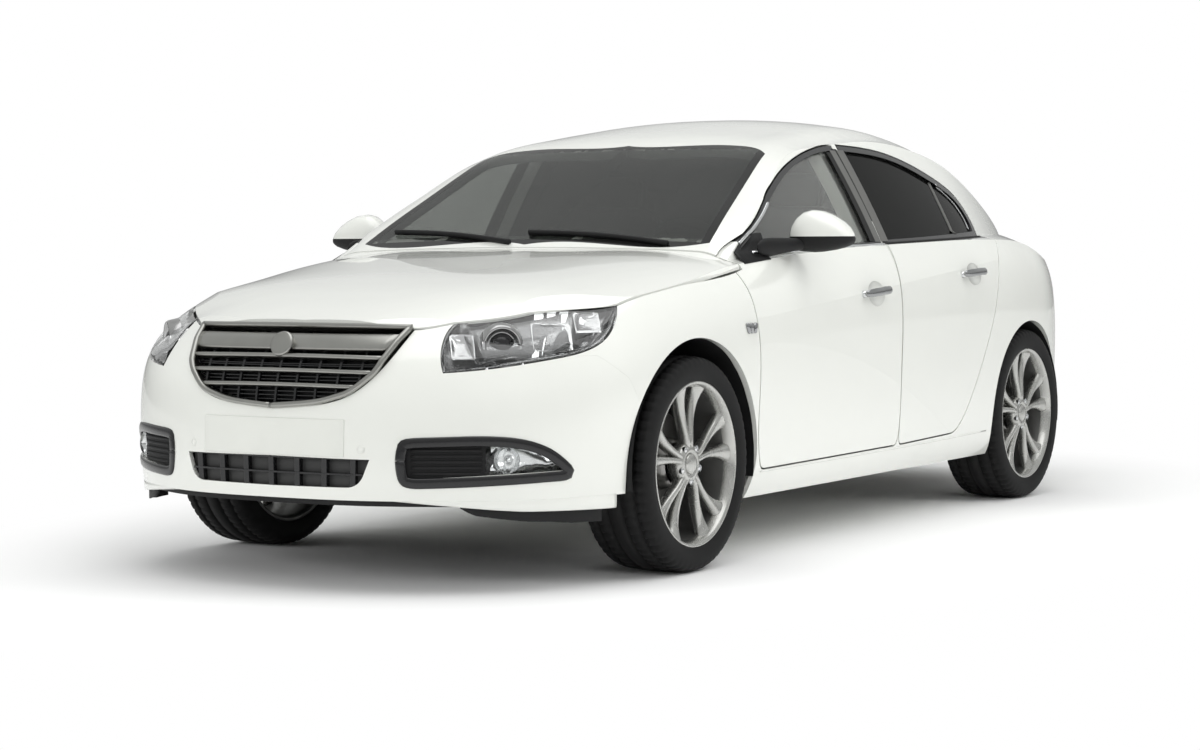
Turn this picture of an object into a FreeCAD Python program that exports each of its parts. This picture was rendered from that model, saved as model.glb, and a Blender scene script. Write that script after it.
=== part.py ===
import FreeCAD, Part

import math
import os

from FreeCAD import Placement, Rotation, Vector

# A four-door saloon car in millimetres: front towards -Y, left side at +X, ground at Z = 0.
# The body is drawn from plan rings, a crown surface and a canopy surface, then split into its panels.

doc = FreeCAD.newDocument("Saloon")
sheet = doc.addObject("Spreadsheet::Sheet", "Sizes")

DRIVING_SIZES = [
    ("overall_length", 4830), ("overall_width", 1856), ("overall_height", 1498),
    ("wheelbase", 2737), ("front_overhang", 1000), ("track_width", 1585),
    ("tyre_radius", 339), ("tyre_width", 245), ("tyre_bead_radius", 252), ("rim_lip_radius", 258),
    ("rim_width", 226), ("front_arch_radius", 394), ("rear_arch_radius", 372),
    ("panel_gap", 6), ("bonnet_gap", 9), ("seat_clearance", 0.3), ("door_thickness", 90),
    ("frame_thickness", 36), ("wing_thickness", 16), ("bonnet_thickness", 16), ("glass_thickness", 5),
    ("liner_thickness", 8), ("floor_height", 232), ("floor_thickness", 24), ("disc_radius", 160),
    ("disc_thickness", 28), ("steering_wheel_radius", 185), ("steering_rim_radius", 15),
    ("exhaust_radius", 28),
]
for row, (alias, value) in enumerate(DRIVING_SIZES, start=1):
    sheet.set("A%d" % row, alias)
    sheet.set("B%d" % row, str(value))
    sheet.setAlias("B%d" % row, alias)
doc.recompute()


def size(alias):
    return float(sheet.get(alias))


LENGTH = size("overall_length")
WIDTH = size("overall_width")
HEIGHT = size("overall_height")
WHEELBASE = size("wheelbase")
FRONT_OVERHANG = size("front_overhang")
TRACK = size("track_width")
TYRE_RADIUS = size("tyre_radius")
TYRE_WIDTH = size("tyre_width")
GAP = size("panel_gap")
BONNET_GAP = size("bonnet_gap")
FIT = size("seat_clearance")
DOOR = size("door_thickness")
FRAME = size("frame_thickness")
GLASS = size("glass_thickness")
LINER = size("liner_thickness")
FLOOR = size("floor_height")
FLOOR_THICKNESS = size("floor_thickness")

# The stations below are drawn for these base sizes and follow the sheet through the maps under them.
BASE_LENGTH, BASE_WIDTH, BASE_HEIGHT = 4830.0, 1856.0, 1498.0
BASE_NOSE, BASE_FRONT_AXLE, BASE_REAR_AXLE, BASE_TAIL = -2415.0, -1415.0, 1322.0, 2415.0

NOSE = -LENGTH / 2
FRONT_AXLE = NOSE + FRONT_OVERHANG
REAR_AXLE = FRONT_AXLE + WHEELBASE
TAIL = LENGTH / 2
Y_MAP = [(BASE_NOSE, NOSE), (BASE_FRONT_AXLE, FRONT_AXLE), (BASE_REAR_AXLE, REAR_AXLE), (BASE_TAIL, TAIL)]


def map_y(y):
    for (a, fa), (b, fb) in zip(Y_MAP, Y_MAP[1:]):
        if y <= b or (b, fb) == Y_MAP[-1]:
            return fa + (y - a) * (fb - fa) / (b - a)


def map_x(x):
    return x * WIDTH / BASE_WIDTH


def map_z(z):
    return z * HEIGHT / BASE_HEIGHT


def at(x, y, z):
    return Vector(map_x(x), map_y(y), map_z(z))


def along(stations, value):
    """Smooth value through (position, value) stations, held beyond the ends."""
    if value <= stations[0][0]:
        return stations[0][1]
    if value >= stations[-1][0]:
        return stations[-1][1]
    i = max(k for k in range(len(stations) - 1) if stations[k][0] <= value)

    def slope(k):
        a = stations[max(k - 1, 0)]
        b = stations[min(k + 1, len(stations) - 1)]
        return (b[1] - a[1]) / (b[0] - a[0])

    (x0, y0), (x1, y1) = stations[i], stations[i + 1]
    span = x1 - x0
    t = (value - x0) / span
    rise = (2 * t ** 3 - 3 * t ** 2 + 1) * y0 + (3 * t ** 2 - 2 * t ** 3) * y1
    lean = (t ** 3 - 2 * t ** 2 + t) * slope(i) + (t ** 3 - t ** 2) * slope(i + 1)
    return rise + span * lean


# Lower body: half plan contour from nose to tail at the widest level, and how it changes with height.
PLAN = [
    (0, -2398), (150, -2394), (300, -2375), (440, -2330), (560, -2272), (660, -2204), (745, -2120),
    (810, -2025), (855, -1930), (885, -1830), (903, -1720), (913, -1580), (918, -1350), (921, -1000),
    (925, -600), (927, -200), (928, 200), (928, 600), (927, 900), (924, 1200), (916, 1400), (903, 1560),
    (872, 1706), (832, 1818), (780, 1920), (700, 2042), (600, 2150), (450, 2266), (300, 2345), (150, 2398),
    (0, 2415),
]
BELT_HEIGHT = [(-2400, 790), (-2200, 800), (-1696, 860), (-1140, 935), (-450, 991), (88, 1020),
               (1100, 1043), (1500, 1020), (1700, 995), (2100, 1000), (2400, 1010)]
SIDE_PROFILE = [(0.15, 0.915), (0.22, 0.952), (0.28, 0.975), (0.4, 0.99), (0.6, 0.998), (0.72, 1.0),
                (0.82, 0.993), (0.9, 0.976), (0.96, 0.95), (1.0, 0.922), (1.06, 0.87), (1.14, 0.79), (1.3, 0.62)]
NOSE_Y = [(200, -2375), (280, -2394), (400, -2398), (520, -2392), (600, -2380), (680, -2355), (740, -2310),
          (800, -2238), (850, -2150), (900, -2060), (960, -1990), (1120, -1900)]
TAIL_Y = [(200, 2330), (300, 2375), (400, 2400), (520, 2415), (620, 2410), (740, 2388), (850, 2368),
          (950, 2345), (1040, 2322), (1120, 2285)]
RING_LEVELS = [200, 290, 400, 520, 640, 740, 820, 900, 970, 1040, 1120]
PLAN_WIDEST_LEVEL_Y = -2398.0
CUTTER_OVERLAP = 6.0


def ease(value, start, end):
    t = min(max((value - start) / (end - start), 0.0), 1.0)
    return t * t * (3 - 2 * t)


def ring_point(x, y, z):
    widen = along(SIDE_PROFILE, z / along(BELT_HEIGHT, y))
    nose_shift = (along(NOSE_Y, z) - PLAN_WIDEST_LEVEL_Y) * ease(y, -1250, -2250)
    tail_shift = (along(TAIL_Y, z) - BASE_TAIL) * ease(y, 1500, 2250)
    return x * widen, y + nose_shift + tail_shift


def half_ring(points, spacing, overlap):
    """Closed wire at one level: a curve from nose to tail on the left, closed on the centre plane or past it.

    The curve is drawn a little past both ends, so that it crosses the centre plane squarely, and every level
    uses the same spacing, so that the levels join into one smooth face."""

    def mirrored(point):
        return Vector(-point.x, point.y, point.z)

    drawn = [mirrored(points[2]), mirrored(points[1])] + points + [mirrored(points[-2]), mirrored(points[-3])]
    steps = [spacing[1], spacing[0]] + spacing + [spacing[-1], spacing[-2]]
    knots = [0.0]
    for step in steps:
        knots.append(knots[-1] + step)
    curve = Part.BSplineCurve()
    curve.interpolate(Points=drawn, Parameters=knots)
    curve.segment(knots[2], knots[-3])
    corners = [points[-1], points[0]]
    if overlap:
        past = Vector(-overlap, 0, 0)
        corners = [points[-1], points[-1] + past, points[0] + past, points[0]]
    lines = [Part.LineSegment(a, b).toShape() for a, b in zip(corners, corners[1:])]
    return Part.Wire([curve.toShape()] + lines)


def spacing_of(points):
    return [math.hypot(b[0] - a[0], b[1] - a[1]) / 1000.0 for a, b in zip(points, points[1:])]


def ring_wire(z, inset, overlap):
    """Plan contour at one level, moved inwards by inset."""
    half = [ring_point(x, y, z) for x, y in PLAN]
    shifted = []
    for i, (x, y) in enumerate(half):
        before = half[i - 1] if i else (-half[1][0], half[1][1])
        after = half[i + 1] if i + 1 < len(half) else (-half[-2][0], half[-2][1])
        dx, dy = after[0] - before[0], after[1] - before[1]
        run = math.hypot(dx, dy)
        shifted.append(at(x - inset * dy / run, y + inset * dx / run, z))
    shifted[0].x = shifted[-1].x = 0.0
    return half_ring(shifted, spacing_of(PLAN), overlap)


def rings(inset):
    """Left half of the lower body without its crown; inner volumes reach a little past the centre plane."""
    overlap = CUTTER_OVERLAP if inset else 0.0
    levels = [RING_LEVELS[0] - overlap] + RING_LEVELS[1:-1] + [RING_LEVELS[-1] + overlap]
    return Part.makeLoft([ring_wire(z, inset, overlap) for z in levels], True, False)


# Crown of the lower body: centre height and fall to the sides over bonnet, shoulders and boot deck.
CROWN_Z = [(-2500, 690), (-2300, 772), (-2244, 796), (-2100, 843), (-2000, 870), (-1850, 902), (-1650, 933),
           (-1450, 958), (-1250, 983), (-1010, 1013), (-500, 1040), (100, 1060), (600, 1074), (1150, 1088),
           (1650, 1100), (1850, 1097), (2000, 1089), (2200, 1079), (2330, 1074), (2500, 1062)]
CROWN_FALL = [(-2500, 200), (-2050, 190), (-1890, 118), (-1690, 108), (-1140, 76), (-960, 78), (-450, 62),
              (100, 56), (1150, 72), (1500, 120), (1700, 190), (2000, 200), (2500, 200)]
CROWN_HALF = [(-2500, 620), (-2200, 720), (-2012, 800), (-1844, 868), (-1650, 900), (-1100, 918), (0, 927),
              (1200, 925), (1400, 914), (1700, 876), (1860, 835), (2000, 780), (2200, 700), (2500, 620)]
CROWN_U = [-0.4, -0.2, 0, 0.2, 0.4, 0.58, 0.74, 0.88, 1.0, 1.12]
CROWN_Y = [-2500, -2350, -2200, -2050, -1900, -1700, -1450, -1150, -800, -350, 100, 600, 1100, 1400, 1600,
           1750, 1900, 2050, 2200, 2350, 2500]


def crown_height(x, y):
    return along(CROWN_Z, y) - along(CROWN_FALL, y) * abs(x / along(CROWN_HALF, y)) ** 4


# Canopy: windscreen, roof and rear window as one surface, and the leaning side windows.
CANOPY_Z = [(-1250, 893), (-1010, 1016), (-800, 1123), (-544, 1256), (-420, 1320), (-274, 1385), (-150, 1422),
            (0, 1452), (150, 1478), (300, 1493), (430, 1498), (600, 1494), (800, 1475), (980, 1447),
            (1130, 1412), (1300, 1353), (1450, 1290), (1600, 1224), (1750, 1158), (1880, 1100), (2100, 990)]
CANOPY_FALL = [(-1250, 10), (-960, 8), (-500, 8), (-343, 10), (-100, 34), (200, 56), (700, 62), (1100, 56),
               (1400, 46), (1900, 40), (2100, 40)]
SIDE_LOW = [(-1250, 745), (-1000, 782), (-800, 808), (-400, 840), (0, 851), (132, 852), (600, 842), (1085, 808),
            (1400, 742), (1600, 684), (1800, 610), (2100, 470)]
SIDE_HIGH = [(-1250, 560), (-600, 596), (-343, 612), (0, 632), (200, 640), (500, 638), (800, 622), (1100, 585),
             (1400, 520), (1700, 440), (2100, 330)]
SIDE_LEVELS = [880, 1000, 1100, 1200, 1300, 1400, 1500]
SIDE_LOW_Z, SIDE_HIGH_Z = 1000.0, 1390.0
SIDE_Y = [-1250, -1000, -750, -500, -250, 0, 250, 500, 750, 1000, 1250, 1450, 1650, 1850, 2100]
EDGE_ROLL_HEIGHT, EDGE_ROLL_WIDTH = 18.0, 95.0
CANOPY_U = [-0.4, -0.2, 0, 0.2, 0.4, 0.6, 0.76, 0.86, 0.93, 1.0, 1.1, 1.25, 1.45, 1.7]
CANOPY_Y = [-1250, -1050, -850, -650, -500, -380, -260, -130, 0, 180, 380, 600, 820, 1000, 1150, 1300, 1500,
            1700, 1880, 2100]


def side_half(y, z):
    low, high = along(SIDE_LOW, y), along(SIDE_HIGH, y)
    t = (z - SIDE_LOW_Z) / (SIDE_HIGH_Z - SIDE_LOW_Z)
    return low - (low - high) * (0.86 * t + 0.14 * t * abs(t))


def canopy_half(y):
    return side_half(y, along(CANOPY_Z, y))


def canopy_height(x, y):
    edge = max(0.0, abs(x) - (canopy_half(y) - EDGE_ROLL_WIDTH)) / EDGE_ROLL_WIDTH
    roll = edge ** 2 if edge < 1 else 1 + 0.9 * (edge - 1)
    return along(CANOPY_Z, y) - along(CANOPY_FALL, y) * (abs(x) / 600) ** 2.2 - EDGE_ROLL_HEIGHT * roll


def crown_half(y):
    return along(CROWN_HALF, y)


def below(height, half, u_values, y_values, drop, depth=1400):
    """Volume below a height surface that is lowered by drop."""
    grid = []
    for y in y_values:
        row = []
        for u in u_values:
            x = u * half(y)
            point = at(x, y, height(x, y))
            point.z -= drop
            row.append(point)
        grid.append(row)
    surface = Part.BSplineSurface()
    surface.interpolate(grid)
    return surface.toShape().extrude(Vector(0, 0, -depth))


def below_crown(drop):
    return below(crown_height, crown_half, CROWN_U, CROWN_Y, drop)


def below_canopy(drop):
    return below(canopy_height, canopy_half, CANOPY_U, CANOPY_Y, drop)


def lower_body(inset, drop):
    return rings(inset).common(below_crown(drop))


def greenhouse_ring(z, inset, overlap):
    plan = [(0, SIDE_Y[0] - 60), (500, SIDE_Y[0] - 48)] + [(900, y) for y in SIDE_Y]
    plan += [(300, SIDE_Y[-1] + 48), (0, SIDE_Y[-1] + 60)]
    side = [(side_half(y, z) - inset, y) for y in SIDE_Y]
    points = [plan[0], (side[0][0] * 0.6, plan[1][1])] + side + [(side[-1][0] * 0.6, plan[-2][1]), plan[-1]]
    return half_ring([at(x, y, z) for x, y in points], spacing_of(plan), overlap)


def side_walls(inset):
    """Left half of the volume between the side windows."""
    overlap = CUTTER_OVERLAP if inset else 0.0
    levels = [SIDE_LEVELS[0] - overlap] + SIDE_LEVELS[1:-1] + [SIDE_LEVELS[-1] + overlap]
    return Part.makeLoft([greenhouse_ring(z, inset, overlap) for z in levels], True, False)


def greenhouse(inset, drop):
    return side_walls(inset).common(below_canopy(drop))


def box(x0, x1, y0, y1, z0, z1):
    low, high = at(x0, y0, z0), at(x1, y1, z1)
    return Part.makeBox(high.x - low.x, high.y - low.y, high.z - low.z, low)


def grown(points, distance):
    """Polygon with every side moved outwards by a distance."""
    area = sum(points[i - 1][0] * points[i][1] - points[i][0] * points[i - 1][1] for i in range(len(points)))
    turn = 1 if area > 0 else -1
    result = []
    for i in range(len(points)):
        p0, p1, p2 = points[i - 1], points[i], points[(i + 1) % len(points)]
        a = Vector(p1[0] - p0[0], p1[1] - p0[1], 0).normalize()
        b = Vector(p2[0] - p1[0], p2[1] - p1[1], 0).normalize()
        na, nb = Vector(a.y, -a.x, 0) * turn, Vector(b.y, -b.x, 0) * turn
        shift = (na + nb) * (distance / (1 + na.dot(nb)))
        result.append((p1[0] + shift.x, p1[1] + shift.y))
    return result


PRISM_OUTER_X, PRISM_DEPTH, SIDE_TAPER = 1100.0, 560.0, 0.06


def outline_wire(segments, growth, place):
    """Closed wire of straight and curved runs; each run starts where the one before it ends."""
    flat = [p for run in segments for p in run[:-1]]
    moved = grown(flat, growth) if growth else flat
    moved = moved + [moved[0]]
    edges = []
    start = 0
    for run in segments:
        points = [place(Vector(p[0], p[1], 0)) for p in moved[start:start + len(run)]]
        start += len(run) - 1
        if len(points) == 2:
            edges.append(Part.LineSegment(points[0], points[1]).toShape())
        else:
            curve = Part.BSplineCurve()
            curve.interpolate(Points=points)
            edges.append(curve.toShape())
    return Part.Wire(edges)


def mapped_runs(segments, across, up):
    return [[(across(a), up(b)) for a, b in run] for run in segments]


def side_prism(segments, growth=0.0, depth=PRISM_DEPTH):
    """Block cut into the left side along X; it narrows towards the inside like a door and its opening."""
    runs = mapped_runs(segments, map_y, map_z)
    near, far = PRISM_OUTER_X, PRISM_OUTER_X - depth
    outer = outline_wire(runs, growth + SIDE_TAPER * 150.0, lambda p: Vector(near, p.x, p.y))
    inner = outline_wire(runs, growth - SIDE_TAPER * (depth - 150.0), lambda p: Vector(far, p.x, p.y))
    return Part.makeLoft([outer, inner], True, True)


def straight_prism(segments, across, up, place, sweep, growth=0.0):
    wire = outline_wire(mapped_runs(segments, across, up), growth, place)
    return Part.Face(wire).extrude(sweep)


def plain_side_prism(segments, growth=0.0):
    """Straight block across the left half along X, from an outline in Y and Z."""
    return straight_prism(segments, map_y, map_z, lambda p: Vector(-10, p.x, p.y), Vector(1200, 0, 0), growth)


def top_prism(segments, growth=0.0, low=300, high=1600):
    return straight_prism(segments, map_x, map_y, lambda p: Vector(p.x, p.y, low), Vector(0, 0, high - low), growth)


def front_prism(segments, growth=0.0, start=-2700, end=-1900):
    """Block cut through the nose along Y, from an outline in X and Z."""
    y0, y1 = map_y(start), map_y(end)
    return straight_prism(segments, map_x, map_z, lambda p: Vector(p.x, y0, p.y), Vector(0, y1 - y0, 0), growth)


# Outlines of the openings, each a closed row of runs.
FRONT_DOOR = [
    [(-960, 290), (-985, 300), (-1001, 330), (-1012, 560), (-1020, 745), (-1040, 860), (-1075, 949)],
    [(-1075, 949), (-1035, 978), (-800, 1088), (-575, 1214), (-310, 1324), (-140, 1368), (-20, 1388), (86, 1397)],
    [(86, 1397), (86, 1020)],
    [(86, 1020), (76, 800), (70, 560), (70, 340), (62, 306), (30, 297)],
    [(30, 297), (-960, 290)],
]
REAR_DOOR = [
    [(110, 298), (82, 310), (76, 340), (76, 560), (82, 800), (92, 1020)],
    [(92, 1020), (92, 1397)],
    [(92, 1397), (300, 1391), (505, 1374), (679, 1343), (833, 1304), (991, 1254), (1082, 1204), (1125, 1130),
     (1112, 1042)],
    [(1112, 1042), (1025, 937), (980, 851), (935, 755), (874, 647), (792, 526), (722, 438), (640, 350),
     (590, 318), (540, 308)],
    [(540, 308), (110, 298)],
]
FRONT_WINDOW = [
    [(-930, 997), (-780, 1066), (-565, 1184), (-310, 1290), (-140, 1334), (-20, 1353), (40, 1358)],
    [(40, 1358), (40, 1030)],
    [(40, 1030), (-450, 1008), (-930, 997)],
]
REAR_WINDOW = [
    [(140, 1036), (140, 1359)],
    [(140, 1359), (300, 1354), (495, 1338), (665, 1307), (815, 1268), (965, 1220), (1040, 1178), (1076, 1125),
     (1070, 1068)],
    [(1070, 1068), (600, 1050), (140, 1036)],
]
WINDSCREEN = [
    [(-20, -1000), (400, -995), (620, -985), (700, -955)],
    [(700, -955), (592, -350)],
    [(592, -350), (560, -325), (300, -288), (-20, -276)],
    [(-20, -276), (-20, -1000)],
]
BACKLIGHT = [
    [(-20, 1185), (300, 1190), (450, 1215), (505, 1262)],
    [(505, 1262), (560, 1500), (580, 1680), (560, 1780)],
    [(560, 1780), (400, 1830), (-20, 1850)],
    [(-20, 1850), (-20, 1185)],
]
BONNET = [
    [(-20, -2233), (250, -2226), (400, -2200), (505, -2112), (600, -2010), (700, -1888), (768, -1790), (800, -1690)],
    [(800, -1690), (838, -1400), (850, -1150), (845, -1022)],
    [(845, -1022), (500, -1018), (-20, -1016)],
    [(-20, -1016), (-20, -2233)],
]
HEADLAMP_VIEW = math.radians(40)
HEADLAMP = [
    [(-1046, 652), (-1050, 705), (-1020, 775), (-960, 808)],
    [(-960, 808), (-800, 846), (-650, 868), (-494, 872)],
    [(-494, 872), (-506, 800), (-550, 742), (-620, 708), (-723, 688), (-900, 664), (-1046, 652)],
]
FRONT_BUMPER_TOP = [
    [(-1500, 150), (-1799, 624)],
    [(-1799, 624), (-1904, 696)],
    [(-1904, 696), (-2112, 700)],
    [(-2112, 700), (-2112, 1120)],
    [(-2112, 1120), (-1009, 1120)],
    [(-1009, 1120), (-1009, 150)],
    [(-1009, 150), (-1500, 150)],
]
REAR_BUMPER_SIDE = [
    [(1500, 150), (2600, 150)],
    [(2600, 150), (2600, 700)],
    [(2600, 700), (2100, 700)],
    [(2100, 700), (1990, 650), (1850, 570), (1700, 500)],
    [(1700, 500), (1500, 150)],
]
TAIL_LAMP_SIDE = [
    [(1667, 985), (1684, 920), (1702, 884), (1760, 862)],
    [(1760, 862), (2600, 850)],
    [(2600, 850), (2600, 1004)],
    [(2600, 1004), (1760, 1008)],
    [(1760, 1008), (1667, 985)],
]
GRILLE = [
    [(-20, 543), (150, 556), (280, 592), (350, 655), (396, 783)],
    [(396, 783), (-20, 787)],
    [(-20, 787), (-20, 543)],
]
GRILLE_OPENING = [
    [(-20, 559), (140, 571), (262, 603), (335, 660), (377, 769)],
    [(377, 769), (-20, 772)],
    [(-20, 772), (-20, 559)],
]
INTAKE = [
    [(-20, 315), (262, 317)],
    [(262, 317), (300, 327), (320, 352)],
    [(320, 352), (339, 400)],
    [(339, 400), (-20, 404)],
    [(-20, 404), (-20, 315)],
]
POD = [
    [(450, 344), (431, 368), (426, 400), (432, 430), (450, 449)],
    [(450, 449), (640, 453)],
    [(640, 453), (720, 441), (775, 408), (806, 364)],
    [(806, 364), (450, 344)],
]
FIREWALL_Y, BULKHEAD_Y, SPLIT_Y = -930.0, 1190.0, -1009.0
LID_FRONT_Y, LID_BOTTOM_Z, LID_HALF = 1905.0, 706.0, 560.0
AXLE_TUNNEL_Y, AXLE_TUNNEL_Z = 1010.0, 420.0


def mirror_x(shape):
    return shape.mirror(Vector(0, 0, 0), Vector(1, 0, 0))


def whole(half):
    return half.fuse(mirror_x(half))


parts = []


def add(label, shape):
    """One sub-part whose shape comes from the body surfaces."""
    solids = shape.Solids
    feature = doc.addObject("Part::Feature", label)
    feature.Label = label
    feature.Shape = solids[0] if len(solids) == 1 else Part.makeCompound(solids)
    parts.append(feature)
    return feature


def minus(shape, tools):
    for tool in tools:
        shape = shape.cut(tool)
    return shape


def keep_large(shape, least=2e5):
    solids = [solid for solid in shape.Solids if solid.Volume > least]
    return solids[0] if len(solids) == 1 else Part.makeCompound(solids)


SKIN = size("wing_thickness")
shells = {}


def build_volumes():
    lower = lower_body(0, 0)
    shells["outer"] = lower.fuse(greenhouse(0, 0))
    shells["doors"] = lower_body(DOOR, 60).fuse(greenhouse(FRAME, FRAME))
    shells["deep"] = lower_body(DOOR + 14, 68)
    shells["beside_frames"] = side_walls(FRAME + GAP)
    shells["skin"] = lower_body(SKIN, SKIN)
    shells["behind_skin"] = lower_body(SKIN + FIT, SKIN + 8)
    shells["under_bonnet"] = below_crown(size("bonnet_thickness"))
    shells["under_glass"] = below_canopy(GLASS)
    shells["wall"] = shells["outer"].cut(shells["doors"])
    shells["lower"] = lower


def wheel_cylinders(axle_y, radius, inner_x, growth=0.0):
    start = Vector(map_x(inner_x) - growth, axle_y, TYRE_RADIUS)
    return Part.makeCylinder(radius + growth, 900, start, Vector(1, 0, 0))


def front_wheel_space(growth=0.0):
    return wheel_cylinders(FRONT_AXLE, size("front_arch_radius"), 470, growth)


def rear_wheel_space(growth=0.0):
    return wheel_cylinders(REAR_AXLE, size("rear_arch_radius"), 610, growth)


def lid_block(growth=0.0):
    return box(-50, LID_HALF + growth, LID_FRONT_Y - growth, 2600, LID_BOTTOM_Z - growth, 1400)


def tail_lamp_block(growth=0.0):
    return plain_side_prism(TAIL_LAMP_SIDE, growth).common(box(LID_HALF + GAP - growth, 1100, 1500, 2600, 700, 1200))


def lamp_block(growth=0.0):
    """Block cut into the front corner along the direction in which the headlamp faces."""
    c, s = math.cos(HEADLAMP_VIEW), math.sin(HEADLAMP_VIEW)
    nose_shift = NOSE - BASE_NOSE

    def place(p):
        return Vector(p.x * c + 2600 * s, p.x * s - 2600 * c + nose_shift, p.y)

    runs = mapped_runs(HEADLAMP, lambda p: p, map_z)
    return Part.Face(outline_wire(runs, growth, place)).extrude(Vector(-s * 900, c * 900, 0))


def underbody():
    """Recess below the floor for the exhaust, the rear axle and the silencer."""
    recess = box(-50, 560, SPLIT_Y - 2, AXLE_TUNNEL_Y + 20, 150, FLOOR)
    return recess.fuse([box(-50, 550, AXLE_TUNNEL_Y, 2330, 140, AXLE_TUNNEL_Z),
                        box(-50, 622, 1250, 1394, 130, AXLE_TUNNEL_Z - 10),
                        box(-50, 420, 2300, 2600, 120, 246)])


def door_pocket(outline):
    """Space for a door: as deep as the door below the windows, as deep as its frame beside them."""
    return side_prism(outline, GAP).cut(shells["deep"]).cut(shells["beside_frames"])


def build_body():
    outer = shells["outer"]
    rear = outer.common(box(-50, 1100, SPLIT_Y, 2600, 100, 1700))
    floor_top = FLOOR + FLOOR_THICKNESS
    boot_floor = AXLE_TUNNEL_Z + FLOOR_THICKNESS
    cabin = shells["doors"].common(box(-50, 1100, FIREWALL_Y, AXLE_TUNNEL_Y - 24, floor_top, 1700))
    over_axle = shells["doors"].common(box(-50, 1100, AXLE_TUNNEL_Y - 25, BULKHEAD_Y, boot_floor, 1700))
    boot = lower_body(SKIN + 18, SKIN + 18).common(box(-50, 900, BULKHEAD_Y + 24, 2372, boot_floor, 1070))
    liner = rear_wheel_space(LINER)
    cuts = [cabin.cut(liner), over_axle.cut(liner), boot.cut(liner), rear_wheel_space(), front_wheel_space()]
    cuts.append(underbody())
    cuts.append(door_pocket(FRONT_DOOR))
    cuts.append(door_pocket(REAR_DOOR))
    cuts.append(top_prism(WINDSCREEN, FIT).cut(shells["under_glass"]))
    cuts.append(top_prism(WINDSCREEN, -28).common(box(-50, 900, FIREWALL_Y, 200, 900, 1600)))
    cuts.append(top_prism(BACKLIGHT, FIT).cut(shells["under_glass"]))
    cuts.append(top_prism(BACKLIGHT, -28, 1000))
    cuts.append(plain_side_prism(REAR_BUMPER_SIDE, FIT).cut(shells["behind_skin"]))
    cuts.append(lid_block(GAP))
    cuts.append(tail_lamp_block(FIT))
    shell = minus(rear, cuts)
    profile = [(928 * along(SIDE_PROFILE, z / 1020.0) - DOOR - 8, z) for z in (256, 400, 700, 900, 1000)]
    profile += [(side_half(80, z) - FRAME - 8, z) for z in (1040, 1200, 1400)]
    inner = [(x - 55, z) for x, z in reversed(profile)]
    points = profile + inner + [profile[0]]
    wire = Part.makePolygon([Vector(map_x(x), map_y(20), map_z(z)) for x, z in points])
    pillar = Part.Face(wire).extrude(Vector(0, 110, 0)).common(outer)
    add("body_shell", whole(keep_large(shell.fuse(pillar))))


def build_front():
    hard_points = [lamp_block(FIT), front_wheel_space()]
    structure = shells["behind_skin"].common(box(-50, 1100, -1900, SPLIT_Y - FIT, 285, 1200))
    structure = minus(structure, [box(-50, 455, -1901, -1040, 150, 1200), door_pocket(FRONT_DOOR)]
                              + hard_points + [lower_bonnet_space()])
    beam = shells["behind_skin"].common(box(-50, 1100, -2600, -1880, 464, 530))
    beam = minus(beam, [rings(70), front_wheel_space()])
    add("front_structure", whole(keep_large(structure.fuse(beam))))
    wing = shells["lower"].common(plain_side_prism(FRONT_BUMPER_TOP))
    wing = minus(wing, [side_prism(FRONT_DOOR, GAP), top_prism(BONNET, BONNET_GAP)] + hard_points)
    wing = keep_large(wing.common(box(200, 1100, -2600, SPLIT_Y, 200, 1200)).cut(shells["skin"]))
    add("front_wings", Part.makeCompound([wing, mirror_x(wing)]))
    bumper = shells["lower"].common(box(-50, 1100, -2600, -1500, 279, 1200)).cut(shells["skin"])
    bumper = minus(bumper, [plain_side_prism(FRONT_BUMPER_TOP, FIT), top_prism(BONNET, BONNET_GAP),
                         front_prism(GRILLE, 1.0), front_prism(INTAKE, FIT),
                         front_prism(POD, FIT, -2700, -1800)] + hard_points)
    add("front_bumper", whole(keep_large(bumper)))
    lamp = shells["outer"].common(lamp_block()).cut(rings(60)).cut(top_prism(BONNET, BONNET_GAP))
    lamp = keep_large(lamp)
    add("headlamps", Part.makeCompound([lamp, mirror_x(lamp)]))


def lower_bonnet_space():
    return top_prism(BONNET, BONNET_GAP).cut(below_crown(60))


def build_bonnet():
    panel = shells["outer"].common(top_prism(BONNET)).cut(shells["under_bonnet"])
    add("bonnet", whole(keep_large(panel)))


def build_doors():
    front = shells["wall"].common(side_prism(FRONT_DOOR))
    rear = shells["wall"].common(side_prism(REAR_DOOR))
    glass_sheet = side_walls(12).cut(side_walls(12 + GLASS))
    front = front.cut(top_prism(BONNET, BONNET_GAP, 800))
    inside = side_walls(FRAME)
    for place, door, window in (("front", front, FRONT_WINDOW), ("rear", rear, REAR_WINDOW)):
        frame = keep_large(door.cut(inside).cut(plain_side_prism(window, FIT)), 5e6)
        pane = keep_large(glass_sheet.common(plain_side_prism(window)).common(box(300, 1100, -1200, 1400, 900, 1600)))
        add(place + "_door_left", frame)
        add(place + "_door_right", mirror_x(frame))
        add(place + "_window_left", pane)
        add(place + "_window_right", mirror_x(pane))


def build_glass():
    for label, outline in (("windscreen", WINDSCREEN), ("rear_window", BACKLIGHT)):
        pane = shells["outer"].common(top_prism(outline, 0, 700)).cut(shells["under_glass"])
        add(label, whole(keep_large(pane)))


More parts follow.
